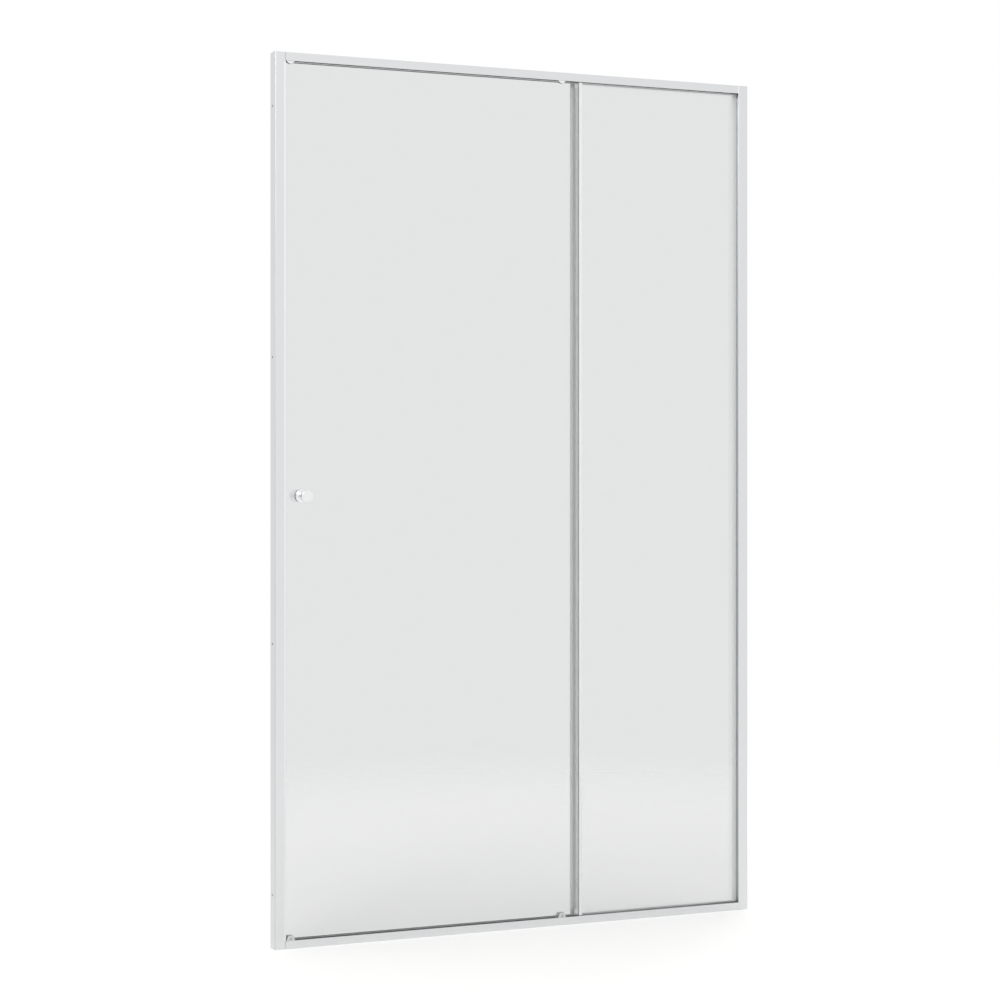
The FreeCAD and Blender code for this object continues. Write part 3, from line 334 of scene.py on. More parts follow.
def cast_zinc(name, rgb):
    """Die-cast zinc, tumbled and satin plated: soft sheen and a slightly pebbled skin."""
    material, tree, shader = start_finish(name, {"Metallic": 1.0})
    pebbles = grain(tree, (1.2, 1.2, 1.2), detail=3.0)
    finish_surface(tree, shader, rgb, pebbles, roughness=(0.34, 0.48), relief_mm=0.02, shade=0.88)
    return material


def moulded_plastic(name, rgb, roughness, ior):
    """Injection moulded plastic: even colour with the fine texture of a spark-eroded mould."""
    material, tree, shader = start_finish(name, {"IOR": ior})
    texture = grain(tree, (0.7, 0.7, 0.7), detail=3.0)
    finish_surface(tree, shader, rgb, texture, roughness, relief_mm=0.02)
    return material


# Mesh helpers

def dress(node, material):
    """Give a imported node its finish."""
    mesh = frame["nodes"][node].data
    mesh.materials.clear()
    mesh.materials.append(material)


def shade(mesh):
    """Shade a mesh smooth, with its sharp bends left crisp."""
    mesh.shade_smooth()
    mesh.set_sharp_from_angle(angle=CRISP_ANGLE)


def place_mesh(name, bm):
    """Put a closed mesh into the scene as an object, with its faces turned outward."""
    bmesh.ops.recalc_face_normals(bm, faces=bm.faces)
    mesh = bpy.data.meshes.new(name)
    bm.to_mesh(mesh)
    bm.free()
    piece = bpy.data.objects.new(name, mesh)
    bpy.context.scene.collection.objects.link(piece)
    return piece


def stand_in(name, bm, material, node):
    """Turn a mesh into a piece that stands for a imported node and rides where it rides."""
    piece = place_mesh(name, bm)
    shade(piece.data)
    piece.data.materials.append(material)
    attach(piece, frame["nodes"][node]["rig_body"])
    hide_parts(node)
    return piece


def solids_of(node):
    """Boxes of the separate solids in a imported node, as pairs of corners."""
    bm = bmesh.new()
    bm.from_mesh(frame["nodes"][node].data)
    bmesh.ops.remove_doubles(bm, verts=bm.verts, dist=WELD)
    boxes, left = [], set(bm.verts)
    while left:
        reached = [left.pop()]
        for vert in reached:
            for edge in vert.link_edges:
                other = edge.other_vert(vert)
                if other in left:
                    left.remove(other)
                    reached.append(other)
        points = [vert.co for vert in reached]
        boxes.append(tuple(Vector([pick(p[i] for p in points) for i in range(3)]) for pick in (min, max)))
    bm.free()
    return sorted(boxes, key=lambda box: tuple(box[0]))


def front_middle(low, high):
    """Middle of the front face of a box."""
    return Vector(((low.x + high.x) / 2, low.y, (low.z + high.z) / 2))


def turned(bm, rings, centre, axis, sides=TURNED_SIDES):
    """Close a surface through rings about an axis; each ring is a distance along it and a radius.

    A radius of 0 is a point on the axis, and a radius may be a function of the angle.
    """
    side = axis.orthogonal().normalized()
    up = axis.cross(side)
    before = None
    for along, radius in rings:
        middle = centre + axis * along
        if radius == 0:
            ring = [bm.verts.new(middle)]
        else:
            ring = []
            for i in range(sides):
                angle = math.tau * i / sides
                reach = radius(angle) if callable(radius) else radius
                ring.append(bm.verts.new(middle + reach * (math.cos(angle) * side + math.sin(angle) * up)))
        if before:
            for i in range(sides):
                corners = ((before, i), (before, i + 1), (ring, i + 1), (ring, i))
                bm.faces.new(list(dict.fromkeys(loop[k % len(loop)] for loop, k in corners)))
        before = ring


def arc(centre, radius, start, end, steps=8):
    """Points of an arc as pairs, with angles in degrees."""
    angles = [math.radians(start + (end - start) * i / steps) for i in range(steps + 1)]
    return [(centre[0] + radius * math.cos(a), centre[1] + radius * math.sin(a)) for a in angles]


def rounded(points, radius, steps=5):
    """Outline with every corner rounded, each by no more than its shorter side allows."""
    outline = []
    count = len(points)
    for i in range(count):
        corner, back, ahead = (Vector(points[k % count]) for k in (i, i - 1, i + 1))
        to_back, to_ahead = back - corner, ahead - corner
        reach = min(radius, CORNER_SHARE * to_back.length, CORNER_SHARE * to_ahead.length)
        first, last = corner + to_back.normalized() * reach, corner + to_ahead.normalized() * reach
        for k in range(steps + 1):
            t = k / steps
            outline.append((1 - t) ** 2 * first + 2 * t * (1 - t) * corner + t ** 2 * last)
    return outline


def extruded(outline, place, low, high, bm=None):
    """Mesh of an outline drawn out from low to high; place turns two coordinates and a run into a point.

    It is a new mesh, unless it is added to one.
    """
    if bm is None:
        bm = bmesh.new()
    ends = [[bm.verts.new(place(a, b, run)) for a, b in outline] for run in (low, high)]
    for end in ends:
        bm.faces.new(end)
    count = len(outline)
    for i in range(count):
        j = (i + 1) % count
        bm.faces.new((ends[0][i], ends[0][j], ends[1][j], ends[1][i]))
    return bm


def upright(a, b, run):
    """Point of a piece that runs along Z, with its outline in X and Y."""
    return Vector((a, b, run))


def level(a, b, run):
    """Point of a piece that runs along X, with its outline in Y and Z."""
    return Vector((run, a, b))


def cut_away(piece, bm):
    """Cut a closed mesh out of a piece."""
    cutter = place_mesh("cutter", bm)
    modifier = piece.modifiers.new("recess", "BOOLEAN")
    modifier.object = cutter
    modifier.operation = "DIFFERENCE"
    modifier.solver = "EXACT"
    bpy.context.view_layer.update()
    cut = bpy.data.meshes.new_from_object(piece.evaluated_get(bpy.context.evaluated_depsgraph_get()))
    piece.modifiers.clear()
    spent = piece.data, cutter.data
    piece.data = cut
    bpy.data.objects.remove(cutter)
    for mesh in spent:
        bpy.data.meshes.remove(mesh)
    shade(cut)


def add_cross(bm, face_point, axis, half_length, half_width, depth):
    """Add the cutter of a cross recess in a screw's face; axis points out of the face."""
    side = axis.orthogonal().normalized()
    up = axis.cross(side)

    def place(a, b, run):
        return face_point + a * side + b * up + run * axis

    arm = [(half_length, -half_width), (half_length, half_width), (half_width, half_width)]
    outline = []
    for _ in range(4):
        outline += arm
        arm = [(-b, a) for a, b in arm]
    extruded(outline, place, -depth, depth, bm)


# Operators, one for each group of pieces

class SHOWER_OT_frame_profiles(bpy.types.Operator):
    """Finish the jambs, the rails and the wall channels"""

    bl_idname = "shower.frame_profiles"
    bl_label = "Frame Profiles"

    def execute(self, context):
        finishes = context.scene.shower_finishes
        upright_finish = anodised_aluminium("anodised aluminium, upright", finishes.aluminium, "Z")
        level_finish = anodised_aluminium("anodised aluminium, level", finishes.aluminium, "X")
        channel_finish = anodised_aluminium("anodised wall channel", finishes.channel, "Z")
        for side in SIDES:
            dress(f"{side}_jamb", upright_finish)
            dress(f"{side}_wall_channel", channel_finish)
        for rail in ("head_rail", "sill_rail"):
            dress(rail, level_finish)
        return {"FINISHED"}


class SHOWER_OT_panes(bpy.types.Operator):
    """Finish the sliding and the fixed pane"""

    bl_idname = "shower.panes"
    bl_label = "Panes"

    def execute(self, context):
        # Both panes get the same grey glass, whose tone is partly painted shade.
        glass = toughened_glass("toughened glass", context.scene.shower_finishes.glass)
        for pane in ("door_glass", "fixed_glass"):
            dress(pane, glass)
        return {"FINISHED"}


class SHOWER_OT_edge_seals(bpy.types.Operator):
    """Model the clip-on seals of the panes and the strike seal in the jamb"""

    bl_idname = "shower.edge_seals"
    bl_label = "Edge Seals"

    def execute(self, context):
        finishes, sizes = context.scene.shower_finishes, context.scene.shower_sizes
        pvc = soft_pvc("soft extruded PVC", finishes.seal)
        clear = clear_pvc("clear soft PVC, seal fins", finishes.fin)
        self.leading_edge(sizes, pvc)
        self.hooked_edge("trailing_edge_seal", "door_glass", sizes, (pvc, clear), out=1, root=0.0)
        fixed = self.hooked_edge(
            "fixed_edge_seal", "fixed_glass", sizes, (pvc, clear), out=-1, root=sizes.hook_root)
        self.trim_hook(fixed, sizes)
        self.strike(sizes, extruded_rubber("white strike rubber", finishes.seal))
        return {"FINISHED"}

    def leading_edge(self, sizes, finish):
        """Channel over the closing edge, with a round nose."""
        low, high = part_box("leading_edge_seal")
        glass_low, glass_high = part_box("door_glass")
        gap, edge = sizes.seat_gap, glass_low.x
        # The nose fills this share of the room before the glass
        fullness = 0.9
        bulge = (edge - low.x) * fullness
        middle = (low.y + high.y) / 2
        reach = (high.y - low.y) / 2
        nose = [(edge - bulge * x, middle - reach * y) for x, y in arc((0, 0), 1.0, -90, 90, 12)]
        outline = [
            (high.x, high.y), *nose, (high.x, low.y), (high.x, glass_low.y - gap),
            (edge - gap, glass_low.y - gap), (edge - gap, glass_high.y + gap), (high.x, glass_high.y + gap),
        ]
        bm = extruded(outline, upright, low.z, high.z)
        stand_in("leading_edge_seal_pvc", bm, finish, "leading_edge_seal")

    def hooked_edge(self, node, pane, sizes, finishes, out, root):
        """White channel over a pane's free edge, with a clear hook that closes the gap to the other pane.

        The hook lies on the rear of the pane where out is 1, and on its front where out is -1.
        As far as root from its nose, the hook is white too. The points at turn, and those at the nose
        beside the glass, are there to part the white faces from the clear ones.
        """
        low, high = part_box(node)
        glass_low, glass_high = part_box(pane)
        gap, wall, hook = sizes.seat_gap, sizes.seal_wall, sizes.hook_wall
        far, near = (glass_low.y, glass_high.y) if out > 0 else (glass_high.y, glass_low.y)
        nose, hook_end = (high.x, low.x) if out > 0 else (low.x, high.x)
        hook_face = high.y if out > 0 else low.y
        edge = nose - out * sizes.seal_nose
        tip = edge - out * sizes.seal_grip
        turn = nose - out * sizes.hook_root
        points = [
            (tip, far - out * (gap + wall)), (nose, far - out * (gap + wall)),
            (nose, near + out * (gap + wall)), (nose, hook_face), (turn, hook_face),
            (hook_end, hook_face), (hook_end, hook_face - out * hook), (turn, hook_face - out * hook),
            (nose - out * hook, hook_face - out * hook), (nose - out * hook, near + out * (gap + wall)),
            (tip, near + out * (gap + wall)), (tip, near + out * gap), (edge + out * gap, near + out * gap),
            (edge + out * gap, far - out * gap), (tip, far - out * gap),
        ]
        outline = rounded(points, sizes.seal_round)
        white, clear = finishes
        piece = stand_in(f"{node}_pvc", extruded(outline, upright, low.z, high.z), white, node)
        piece.data.materials.append(clear)
        for face in piece.data.polygons:
            in_hook = out * (face.center.y - near) > gap + wall + PLAY
            if in_hook and out * (nose - face.center.x) > root - PLAY:
                face.material_index = 1
        return piece

    def trim_hook(self, piece, sizes):
        """Cut the fixed pane's hook away at both ends, where the rollers and the guides pass."""
        low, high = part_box("fixed_edge_seal")
        wall, room = sizes.seal_wall, sizes.hook_pass
        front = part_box("fixed_glass")[0].y - sizes.seat_gap - wall
        hook_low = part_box("bottom_left_housing")[1].z + room
        hook_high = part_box("top_left_hub")[0].z - room
        across = [(low.x - wall, front), (high.x + wall, front),
                  (high.x + wall, low.y - wall), (low.x - wall, low.y - wall)]
        cut_away(piece, extruded(across, upright, low.z - wall, hook_low))
        cut_away(piece, extruded(across, upright, hook_high, high.z + wall))

    def strike(self, sizes, finish):
        """Strip with a round buffer on the jamb's web, and a lap round the tip of the jamb's lip."""
        low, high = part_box("strike_seal")
        gap, wall = sizes.seat_gap, sizes.lap_wall
        middle = (low.y + high.y) / 2
        base = low.x + sizes.strike_base
        bulb = arc((base, middle), high.x - base, 90, -90, 12)
        jamb_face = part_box("left_jamb")[0].y
        lip_tip, lip_back = low.x + sizes.lip_reach, jamb_face + sizes.lip_wall
        bead, face = lip_tip + sizes.lap_bead, jamb_face - gap - wall
        outline = [
            (low.x, high.y), (base, high.y), *bulb, (base, lip_back + gap + wall),
            (bead, lip_back + gap + wall), *arc((bead - wall, face + wall), wall, 0, -90, 4),
            (lip_tip - sizes.lip_cover, face), (lip_tip - sizes.lip_cover, jamb_face - gap),
            (lip_tip + gap, jamb_face - gap), (lip_tip + gap, lip_back + gap), (low.x, lip_back + gap),
        ]
        stand_in("strike_seal_strip", extruded(outline, upright, low.z, high.z), finish, "strike_seal")


class SHOWER_OT_glazing_gaskets(bpy.types.Operator):
    """Model the gaskets that hold the fixed pane in sill, head and jamb"""

    bl_idname = "shower.glazing_gaskets"
    bl_label = "Glazing Gaskets"

    def execute(self, context):
        sizes = context.scene.shower_sizes
        rubber = extruded_rubber("white gasket rubber", context.scene.shower_finishes.gasket)
        pane_low, pane_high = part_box("fixed_glass")
        for rail, foot in (("sill", pane_low.z), ("head", pane_high.z)):
            node = f"fixed_{rail}_gasket"
            low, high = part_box(node)
            base, tip = (low.z, high.z) if rail == "sill" else (high.z, low.z)
            outline = self.channel(low.y, high.y, base, tip, tip, foot, sizes)
            outline += self.lip(low.y, base, tip, sizes)
            stand_in(f"{node}_rubber", extruded(outline, level, low.x, high.x), rubber, node)
        low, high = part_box("fixed_jamb_gasket")
        rear_tip = low.x + sizes.gasket_set
        outline = self.channel(low.y, high.y, high.x, low.x, rear_tip, pane_high.x, sizes)
        outline = [(rise, across) for across, rise in outline + self.fin_lap(low, sizes)]
        bm = extruded(outline, upright, low.z, high.z)
        stand_in("fixed_jamb_gasket_rubber", bm, rubber, "fixed_jamb_gasket")
        return {"FINISHED"}

    def channel(self, front, rear, base, tip, rear_tip, foot, sizes):
        """U section round the pane's edge up to its front leg, as pairs of across and rise."""
        pane_low, pane_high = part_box("fixed_glass")
        gap, lip = sizes.seat_gap, sizes.gasket_lip
        up = 1 if tip > base else -1
        return [
            (front, base), (rear, base),
            *[(rear - lip + y, rear_tip + up * (z - lip)) for y, z in arc((0, 0), lip, 0, 90, 6)],
            (pane_high.y + gap, rear_tip), (pane_high.y + gap, foot - up * gap),
            (pane_low.y - gap, foot - up * gap), (pane_low.y - gap, tip),
        ]

    def lip(self, front, base, tip, sizes):
        """Rounded tip of the front leg in a rail."""
        lip = sizes.gasket_lip
        up = 1 if tip > base else -1
        return [(front + lip + y, tip + up * (z - lip)) for y, z in arc((0, 0), lip, 90, 180, 6)]

    def fin_lap(self, low, sizes):
        """Lap of the jamb gasket round the tip of the jamb's fin and over its front."""
        gap, wall = sizes.seat_gap, sizes.lap_wall
        fin_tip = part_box("right_jamb")[0].x
        fin_front = low.y - sizes.fin_wall
        bead = fin_tip - sizes.lap_bead
        end = bead + sizes.fin_cover
        return [
            (low.y + wall, low.x), (low.y + wall, bead), (fin_front - gap, bead),
            (fin_front - gap - wall, bead + wall), (fin_front - gap - wall, end),
            (fin_front - gap, end), (fin_front - gap, fin_tip - gap), (low.y, fin_tip - gap),
        ]


class SHOWER_OT_knobs(bpy.types.Operator):
    """Turn the two knobs and finish their stud, bush and washers"""

    bl_idname = "shower.knobs"
    bl_label = "Knobs"

    def execute(self, context):
        finishes, sizes = context.scene.shower_finishes, context.scene.shower_sizes
        chrome = chrome_plate("bright chrome plate, knobs", finishes.chrome)
        for node, outward in (("knob_front", -Y_AXIS), ("knob_back", Y_AXIS)):
            low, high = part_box(node)
            seat = (low + high) / 2
            seat.y = high.y if outward.y < 0 else low.y
            bm = bmesh.new()
            turned(bm, self.rings(high.y - low.y, (high.x - low.x) / 2, sizes), seat, outward)
            stand_in(f"{node}_turned", bm, chrome, node)
        pvc = soft_pvc("milky soft PVC, washers", finishes.washer)
        for node in ("knob_washers", "knob_bush"):
            dress(node, pvc)
        dress("knob_stud", stainless_steel("stainless steel, stud", finishes.steel))
        return {"FINISHED"}

    def rings(self, reach, rose, sizes):
        """Profile from the bore in the rose, over the neck and the flare, to the face."""
        neck, flare, rim, edge = sizes.knob_neck, sizes.knob_flare, sizes.knob_rim, sizes.knob_edge
        washers_low, washers_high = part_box("knob_washers")
        head = (washers_high.x - washers_low.x) / 2 - sizes.knob_inset
        bead = sizes.knob_rose / 2
        flare_start = reach - rim - flare
        profile = [(0.0, 0), (0.0, rose - bead / 2)]
        profile += [(along, radius) for radius, along in arc((rose - bead, bead), bead, -60, 90, 10)]
        profile += [(sizes.knob_rose, neck + bead), (sizes.knob_rose + bead / 2, neck + bead / 4),
                    (sizes.knob_rose + bead, neck)]
        steps = 10
        for i in range(steps + 1):
            t = i / steps
            ease = t * t * (3 - 2 * t)
            profile.append((flare_start + flare * t, neck + (head - neck) * ease))
        profile.append((reach - rim + sizes.knob_hold, head))
        profile += [(along, radius) for radius, along in arc((head - edge, reach - edge), edge, 0, 90, 10)]
        dish_rim, dish_floor = 0.72 * head, 0.70 * head
        floor = reach - sizes.knob_dish
        return profile + [(reach, dish_rim), (floor, dish_floor), (floor, 0)]


class SHOWER_OT_top_rollers(bpy.types.Operator):
    """Turn the clamp screws and finish the hubs, wheels, bearings and axles that hang the door"""

    bl_idname = "shower.top_rollers"
    bl_label = "Top Rollers"

    def execute(self, context):
        finishes, sizes = context.scene.shower_finishes, context.scene.shower_sizes
        chrome = chrome_plate("bright chrome plate, clamps", finishes.chrome)
        zinc = cast_zinc("satin cast zinc", finishes.zinc)
        pvc = soft_pvc("milky soft PVC, roller bushes", finishes.washer)
        for side in SIDES:
            self.clamp(f"top_{side}_clamp_screw", sizes, chrome)
            dress(f"top_{side}_hub", zinc)
            dress(f"top_{side}_glass_bush", pvc)
        finish_wheels("top", finishes)
        return {"FINISHED"}

    def clamp(self, node, sizes, finish):
        """Broad domed head with a hexagon socket, on a plain shank."""
        low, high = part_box(node)
        glass_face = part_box("door_glass")[0].y
        head_radius = (high.x - low.x) / 2
        rise, length_along = glass_face - low.y, high.y - low.y
        centre = front_middle(low, high)
        shank, edge = sizes.clamp_shank, sizes.clamp_edge
        dome_rise, shoulder, rim, underside = 0.35 * rise, 0.62 * rise, 0.85 * rise, 0.97 * rise
        dome_radius = 0.86 * head_radius
        dome = [(dome_rise * t * t, dome_radius * t) for t in (i / 6 for i in range(1, 7))]
        rings = [
            (0.0, 0), *dome, (shoulder, head_radius - edge / 2), (rim, head_radius),
            (underside, head_radius - edge / 3), (underside, shank), (length_along - edge, shank),
            (length_along, shank - edge), (length_along, 0),
        ]
        bm = bmesh.new()
        turned(bm, rings, centre, Y_AXIS)
        piece = stand_in(f"{node}_domed", bm, finish, node)
        socket = bmesh.new()
        depth, reach = sizes.socket_depth, sizes.socket_reach
        turned(socket, [(-depth, 0), (-depth, reach), (depth, reach), (depth, 0)], centre, Y_AXIS, sides=6)
        cut_away(piece, socket)


def finish_wheels(end, finishes):
    """Finish the wheels, bearings and axles at one end of the door's height."""
    nylon = moulded_plastic(f"white nylon, {end} wheels", finishes.nylon, roughness=(0.36, 0.48), ior=1.53)
    steel = stainless_steel(f"stainless steel, {end} axles", finishes.steel)
    ground = stainless_steel(f"ground bearing steel, {end}", finishes.steel)
    for side in SIDES:
        dress(f"{end}_{side}_wheel", nylon)
        dress(f"{end}_{side}_bearing", ground)
        dress(f"{end}_{side}_axle", steel)


class SHOWER_OT_bottom_guides(bpy.types.Operator):
    """Wind the guide springs, cut the cover screws and finish the sprung bottom guides"""

    bl_idname = "shower.bottom_guides"
    bl_label = "Bottom Guides"

    def execute(self, context):
        finishes, sizes = context.scene.shower_finishes, context.scene.shower_sizes
        moulding = moulded_plastic(
            "light grey ABS moulding", finishes.moulding, roughness=(0.32, 0.44), ior=1.53)
        acetal = moulded_plastic("grey acetal moulding", finishes.acetal, roughness=(0.38, 0.50), ior=1.48)
        pvc = soft_pvc("milky soft PVC, guide bushes", finishes.washer)
        wire = stainless_steel("stainless spring wire", finishes.steel)
        steel = stainless_steel("stainless steel, cover screws", finishes.steel)
        for side in SIDES:
            dress(f"bottom_{side}_housing", moulding)
            dress(f"bottom_{side}_cover", moulding)
            dress(f"bottom_{side}_plunger", acetal)
            dress(f"bottom_{side}_glass_bush", pvc)
            self.spring(side, sizes, wire)
            self.cover_screw(f"bottom_{side}_cover_screw", sizes, steel)
        finish_wheels("bottom", finishes)
        return {"FINISHED"}

    def spring(self, side, sizes, finish):
        """Wire wound in open turns, as at rest; the mesh doesn't close up as the plunger lifts."""
        node = f"bottom_{side}_spring"
        low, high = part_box(node)
        wire = sizes.spring_wire
        centre = (low + high) / 2
        radius = min(high.x - low.x, high.y - low.y) / 2 - wire
        rise = high.z - low.z - 2 * wire
        turns, steps, sides = 5, 28, 10
        bm = bmesh.new()
        before = None
        for i in range(turns * steps + 1):
            angle = math.tau * i / steps
            out = Vector((math.cos(angle), math.sin(angle), 0))
            middle = Vector((centre.x, centre.y, low.z + wire + rise * i / (turns * steps))) + radius * out
            ring = [bm.verts.new(middle + wire * (math.cos(a) * out + math.sin(a) * Z_AXIS))
                    for a in (math.tau * k / sides for k in range(sides))]
            if before:
                for k in range(sides):
                    j = (k + 1) % sides
                    bm.faces.new((before[k], before[j], ring[j], ring[k]))
            else:
                bm.faces.new(ring)
            before = ring
        bm.faces.new(before)
        piece = stand_in(f"{node}_wire", bm, finish, node)
        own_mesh(piece)

    def cover_screw(self, node, sizes, finish):
        """Pan-head screw with a cross recess, sunk in the cover."""
        low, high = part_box(node)
        centre = front_middle(low, high)
        head = (high.x - low.x) / 2
        rings = screw_rings(head, sizes.cover_head, sizes.cover_shank, high.y - low.y, sizes)
        bm = bmesh.new()
        turned(bm, rings, centre, Y_AXIS, SCREW_SIDES)
        piece = stand_in(f"{node}_cross_head", bm, finish, node)
        recess = bmesh.new()
        add_cross(recess, centre, -Y_AXIS, sizes.cross_reach, sizes.cross_half, sizes.cross_depth)
        cut_away(piece, recess)


# Pan head of a screw, from its crown to its underside, as shares of its rise and of its radius
PAN_HEAD = ((0.0, 0.0), (0.0, 0.55), (0.12, 0.80), (0.38, 0.95), (0.7, 1.0), (1.0, 1.0))

# Tip of a screw, as shares of the shank's radius: distance before the end, and radius
SCREW_TIP = ((0.5, 0.55), (0.0, 0.2), (0.0, 0.0))

# The thread has this many rings to a turn, and ends this share of the shank's radius before the end
THREAD_RINGS = 6
THREAD_END = 1.6

# Cross recess of a frame screw: half length and half width as shares of the head's radius, and depth
# as a share of the head's rise
CROSS_REACH, CROSS_HALF, CROSS_DEPTH = 0.55, 0.13, 0.55


def screw_rings(head, head_rise, shank, reach, sizes):
    """Rings of a screw from the crown of its pan head to its tip, with a helical thread."""
    pitch, depth = sizes.thread_pitch, sizes.thread_depth
    rings = [(head_rise * along, head * radius) for along, radius in PAN_HEAD]
    rings.append((head_rise, shank))
    step = pitch / THREAD_RINGS
    first, last = head_rise + step, reach - THREAD_END * shank
    for i in range(max(1, round((last - first) / step)) + 1):
        along = first + step * i
        rings.append((along, thread_radius(along, shank, pitch, depth)))
    return rings + [(reach - shank * before, shank * radius) for before, radius in SCREW_TIP]


def thread_radius(along, shank, pitch, depth):
    """Radius of a threaded shank at one distance along it, as a function of the angle."""

    def at(angle):
        phase = (angle / math.tau - along / pitch) % 1.0
        return shank - depth * abs(2 * phase - 1)

    return at


class SHOWER_OT_frame_screws(bpy.types.Operator):
    """Cut the screws of the frame and their caps"""

    bl_idname = "shower.frame_screws"
    bl_label = "Frame Screws"

    def execute(self, context):
        finishes, sizes = context.scene.shower_finishes, context.scene.shower_sizes
        steel = stainless_steel("stainless steel, frame screws", finishes.steel)
        self.screws("jamb_screws", Y_AXIS, sizes.jamb_head, sizes.jamb_shank, sizes, steel)
        self.screws("corner_screws", X_AXIS, sizes.corner_head, sizes.corner_shank, sizes, steel)
        polythene = moulded_plastic(
            "moulded polythene caps", finishes.cap, roughness=(0.34, 0.46), ior=1.51)
        self.caps(sizes.cap_wall, polythene)
        return {"FINISHED"}

    def screws(self, node, axis, head_rise, shank, sizes, finish):
        """Pan-head screws with cross recesses, one for each solid of a node; heads lie outward."""
        bm, recesses = bmesh.new(), bmesh.new()
        index = 0 if axis == X_AXIS else 1
        for low, high in solids_of(node):
            middle = (low + high) / 2
            outward = axis if index == 1 or middle.x > 0 else -axis
            crown = middle.copy()
            crown[index] = high[index] if outward[index] > 0 else low[index]
            head = (high.z - low.z) / 2
            rings = screw_rings(head, head_rise, shank, high[index] - low[index], sizes)
            turned(bm, rings, crown, -outward, SCREW_SIDES)
            add_cross(
                recesses, crown, outward, head * CROSS_REACH, head * CROSS_HALF, head_rise * CROSS_DEPTH)
        piece = stand_in(f"{node}_cross_head", bm, finish, node)
        cut_away(piece, recesses)

    def caps(self, wall, finish):
        """Domed caps with a thin skirt, open towards the screw heads."""
        bm = bmesh.new()
        # The skirt's share of a cap's rise, and how far its inner corner is set in
        skirt, corner = 0.35, 1.2 * wall
        for low, high in solids_of("jamb_screw_caps"):
            centre = front_middle(low, high)
            radius, rise = (high.x - low.x) / 2, high.y - low.y
            outer = [(rise * (skirt + (1 - skirt) * up), radius * out)
                     for out, up in arc((0, 0), 1.0, 0, 80, 8)]
            top, mouth = rise - wall, radius - wall
            inner = [(top, 0), (top, radius - corner), (0.0, mouth), (0.0, radius)]
            rings = [*inner, *outer, (rise, 0)]
            turned(bm, rings, centre, Y_AXIS, SCREW_SIDES)
        stand_in("jamb_screw_caps_domed", bm, finish, "jamb_screw_caps")


class SHOWER_OT_track_stops(bpy.types.Operator):
    """Model the rubber stops that sit astride the ridge of the head track"""

    bl_idname = "shower.track_stops"
    bl_label = "Track Stops"

    def execute(self, context):
        sizes = context.scene.shower_sizes
        rubber = extruded_rubber("moulded black rubber", context.scene.shower_finishes.stop)
        for node in ("closed_stop", "open_stop"):
            low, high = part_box(node)
            middle = (low.y + high.y) / 2
            slot, roof = sizes.stop_slot, low.z + sizes.stop_roof
            points = [(low.y, low.z), (middle - slot, low.z), (middle - slot, roof), (middle + slot, roof),
                      (middle + slot, low.z), (high.y, low.z), (high.y, high.z), (low.y, high.z)]
            bm = extruded(rounded(points, sizes.stop_round), level, low.x, high.x)
            stand_in(f"{node}_rubber", bm, rubber, node)
        return {"FINISHED"}


WHITE = (1.0, 1.0, 1.0, 1.0)

# The floor fades between these shares of its radius, and gives off this much white where it is seen
FADE_START, FADE_END = 0.35, 0.98
FLOOR_GLOW = 0.27

# Strength of the white surroundings as light, and where they are seen
SKY_LIGHT, SKY_SEEN = 0.72, 1.0

# Lamps with their places in metres and their power in watts, and the side of each lamp
LAMPS = (("key", (-2.6, -3.6, 3.6), 70.0), ("fill", (2.8, 3.2, 3.0), 40.0))
LAMP_SIDE = 2.4

# Camera: place in metres, turn about the vertical, lens and sensor in millimetres, shift of the picture
CAMERA_PLACE = (-2.1473, -4.8880, 1.0759)
CAMERA_TURN = math.radians(-23.245)
LENS, SENSOR = 82.34, 36.0
PICTURE_SHIFT = -0.0335


def seen_share(tree):
    """1 where a surface is seen by the eye, in gloss or through glass, and 0 where it only gives light."""
    path = add(tree, "ShaderNodeLightPath")
    seen = path.outputs["Is Camera Ray"]
    for kind in ("Is Glossy Ray", "Is Transmission Ray"):
        both = add(tree, "ShaderNodeMath", {0: seen, 1: path.outputs[kind]}, operation="MAXIMUM")
        seen = both.outputs["Value"]
    return seen


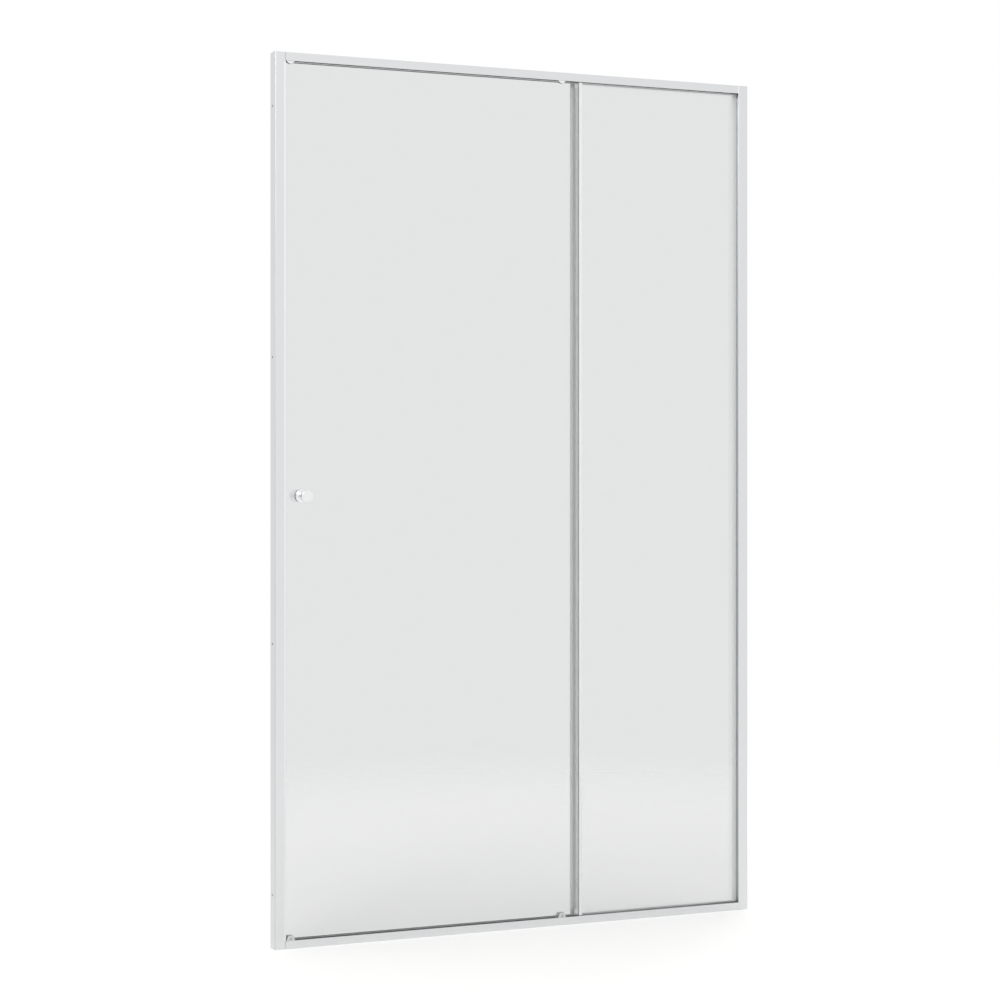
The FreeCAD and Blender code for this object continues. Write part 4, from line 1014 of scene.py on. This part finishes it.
class SHOWER_OT_stage(bpy.types.Operator):
    """Set up the floor, the white surroundings, the lamps and the camera"""

    bl_idname = "shower.stage"
    bl_label = "Stage"

    def execute(self, context):
        self.floor(context)
        self.surroundings(context)
        self.lamps(context)
        self.camera(context)
        context.scene.view_settings.view_transform = "Standard"
        return {"FINISHED"}

    def floor(self, context):
        """Pale disc that fades into the white surroundings towards its rim."""
        sizes = context.scene.shower_sizes
        radius = sizes.floor_radius
        bm = bmesh.new()
        bmesh.ops.create_circle(bm, cap_ends=True, segments=TURNED_SIDES, radius=radius)
        mesh = bpy.data.meshes.new("studio_floor")
        bm.to_mesh(mesh)
        bm.free()
        floor = bpy.data.objects.new("studio_floor", mesh)
        floor.location.z = CAD_LOW.z - sizes.floor_drop
        context.scene.collection.objects.link(floor)
        material, tree, shader = start_finish("studio floor paint", {
            "Base Color": opaque(context.scene.shower_finishes.floor), "Roughness": 0.9,
            "Specular IOR Level": 0.1, "Emission Color": WHITE})
        glow = add(tree, "ShaderNodeMath", {0: seen_share(tree), 1: FLOOR_GLOW}, operation="MULTIPLY")
        tree.links.new(glow.outputs["Value"], shader.inputs["Emission Strength"])
        place = add(tree, "ShaderNodeTexCoord")
        away = add(tree, "ShaderNodeVectorMath", {0: place.outputs["Object"]}, operation="LENGTH")
        fade = add(tree, "ShaderNodeMapRange", {
            "Value": away.outputs["Value"], "From Min": FADE_START * radius,
            "From Max": FADE_END * radius}, interpolation_type="SMOOTHSTEP")
        clear = add(tree, "ShaderNodeBsdfTransparent")
        mix = add(tree, "ShaderNodeMixShader", {
            "Fac": fade.outputs["Result"], 1: shader.outputs["BSDF"], 2: clear.outputs["BSDF"]})
        tree.links.new(mix.outputs["Shader"], tree.nodes["Material Output"].inputs["Surface"])
        mesh.materials.append(material)

    def surroundings(self, context):
        """White to the eye, in gloss and through glass, and a softer white as light."""
        world = bpy.data.worlds.new("white studio")
        world.use_nodes = True
        context.scene.world = world
        tree = world.node_tree
        strength = add(tree, "ShaderNodeMapRange", {
            "Value": seen_share(tree), "To Min": SKY_LIGHT, "To Max": SKY_SEEN})
        background = tree.nodes["Background"]
        background.inputs["Color"].default_value = WHITE
        tree.links.new(strength.outputs["Result"], background.inputs["Strength"])

    def lamps(self, context):
        """Large soft key from the upper left of the room side, a weaker fill from behind.

        Only the key shows in gloss, because the fill would burn out the metal's rear faces.
        """
        for name, place, watts in LAMPS:
            lamp = bpy.data.lights.new(f"{name}_lamp", "AREA")
            lamp.energy = watts
            lamp.size = LAMP_SIDE
            holder = bpy.data.objects.new(f"{name}_lamp", lamp)
            holder.location = place
            aim = Vector((0, 0, CAD_HIGH.z / 2)) - Vector(place)
            holder.rotation_euler = aim.to_track_quat("-Z", "Y").to_euler()
            holder.visible_camera = False
            holder.visible_transmission = False
            holder.visible_glossy = name == "key"
            context.scene.collection.objects.link(holder)

    def camera(self, context):
        """Level camera to the left of the door's middle, at chest height."""
        lens = bpy.data.cameras.new("camera")
        lens.lens = LENS
        lens.sensor_width = SENSOR
        lens.shift_y = PICTURE_SHIFT
        holder = bpy.data.objects.new("camera", lens)
        holder.location = CAMERA_PLACE
        holder.rotation_euler = (math.radians(90), 0, CAMERA_TURN)
        context.scene.collection.objects.link(holder)
        context.scene.camera = holder


class SHOWER_PT_panel(bpy.types.Panel):
    """Sidebar panel that lists the steps"""

    bl_idname = "SHOWER_PT_panel"
    bl_label = "Sliding Shower Door"
    bl_space_type = "VIEW_3D"
    bl_region_type = "UI"
    bl_category = "Shower Door"

    def draw(self, context):
        for step in STEPS:
            self.layout.operator(step.bl_idname)
        for group in (context.scene.shower_finishes, context.scene.shower_sizes):
            for name in group.__annotations__:
                self.layout.prop(group, name)


STEPS = (
    SHOWER_OT_frame_profiles,
    SHOWER_OT_panes,
    SHOWER_OT_edge_seals,
    SHOWER_OT_glazing_gaskets,
    SHOWER_OT_knobs,
    SHOWER_OT_top_rollers,
    SHOWER_OT_bottom_guides,
    SHOWER_OT_frame_screws,
    SHOWER_OT_track_stops,
    SHOWER_OT_stage,
)
CLASSES = (ShowerDoorFinishes, ShowerDoorSizes, *STEPS, SHOWER_PT_panel)


def register():
    for entry in CLASSES:
        bpy.utils.register_class(entry)
    bpy.types.Scene.shower_finishes = bpy.props.PointerProperty(type=ShowerDoorFinishes)
    bpy.types.Scene.shower_sizes = bpy.props.PointerProperty(type=ShowerDoorSizes)


def unregister():
    del bpy.types.Scene.shower_sizes
    del bpy.types.Scene.shower_finishes
    for entry in reversed(CLASSES):
        bpy.utils.unregister_class(entry)


def main():
    register()
    bpy.ops.shower.frame_profiles()
    bpy.ops.shower.panes()
    bpy.ops.shower.edge_seals()
    bpy.ops.shower.glazing_gaskets()
    bpy.ops.shower.knobs()
    bpy.ops.shower.top_rollers()
    bpy.ops.shower.bottom_guides()
    bpy.ops.shower.frame_screws()
    bpy.ops.shower.track_stops()
    bpy.ops.shower.stage()


if __name__ == "__main__":
    main()
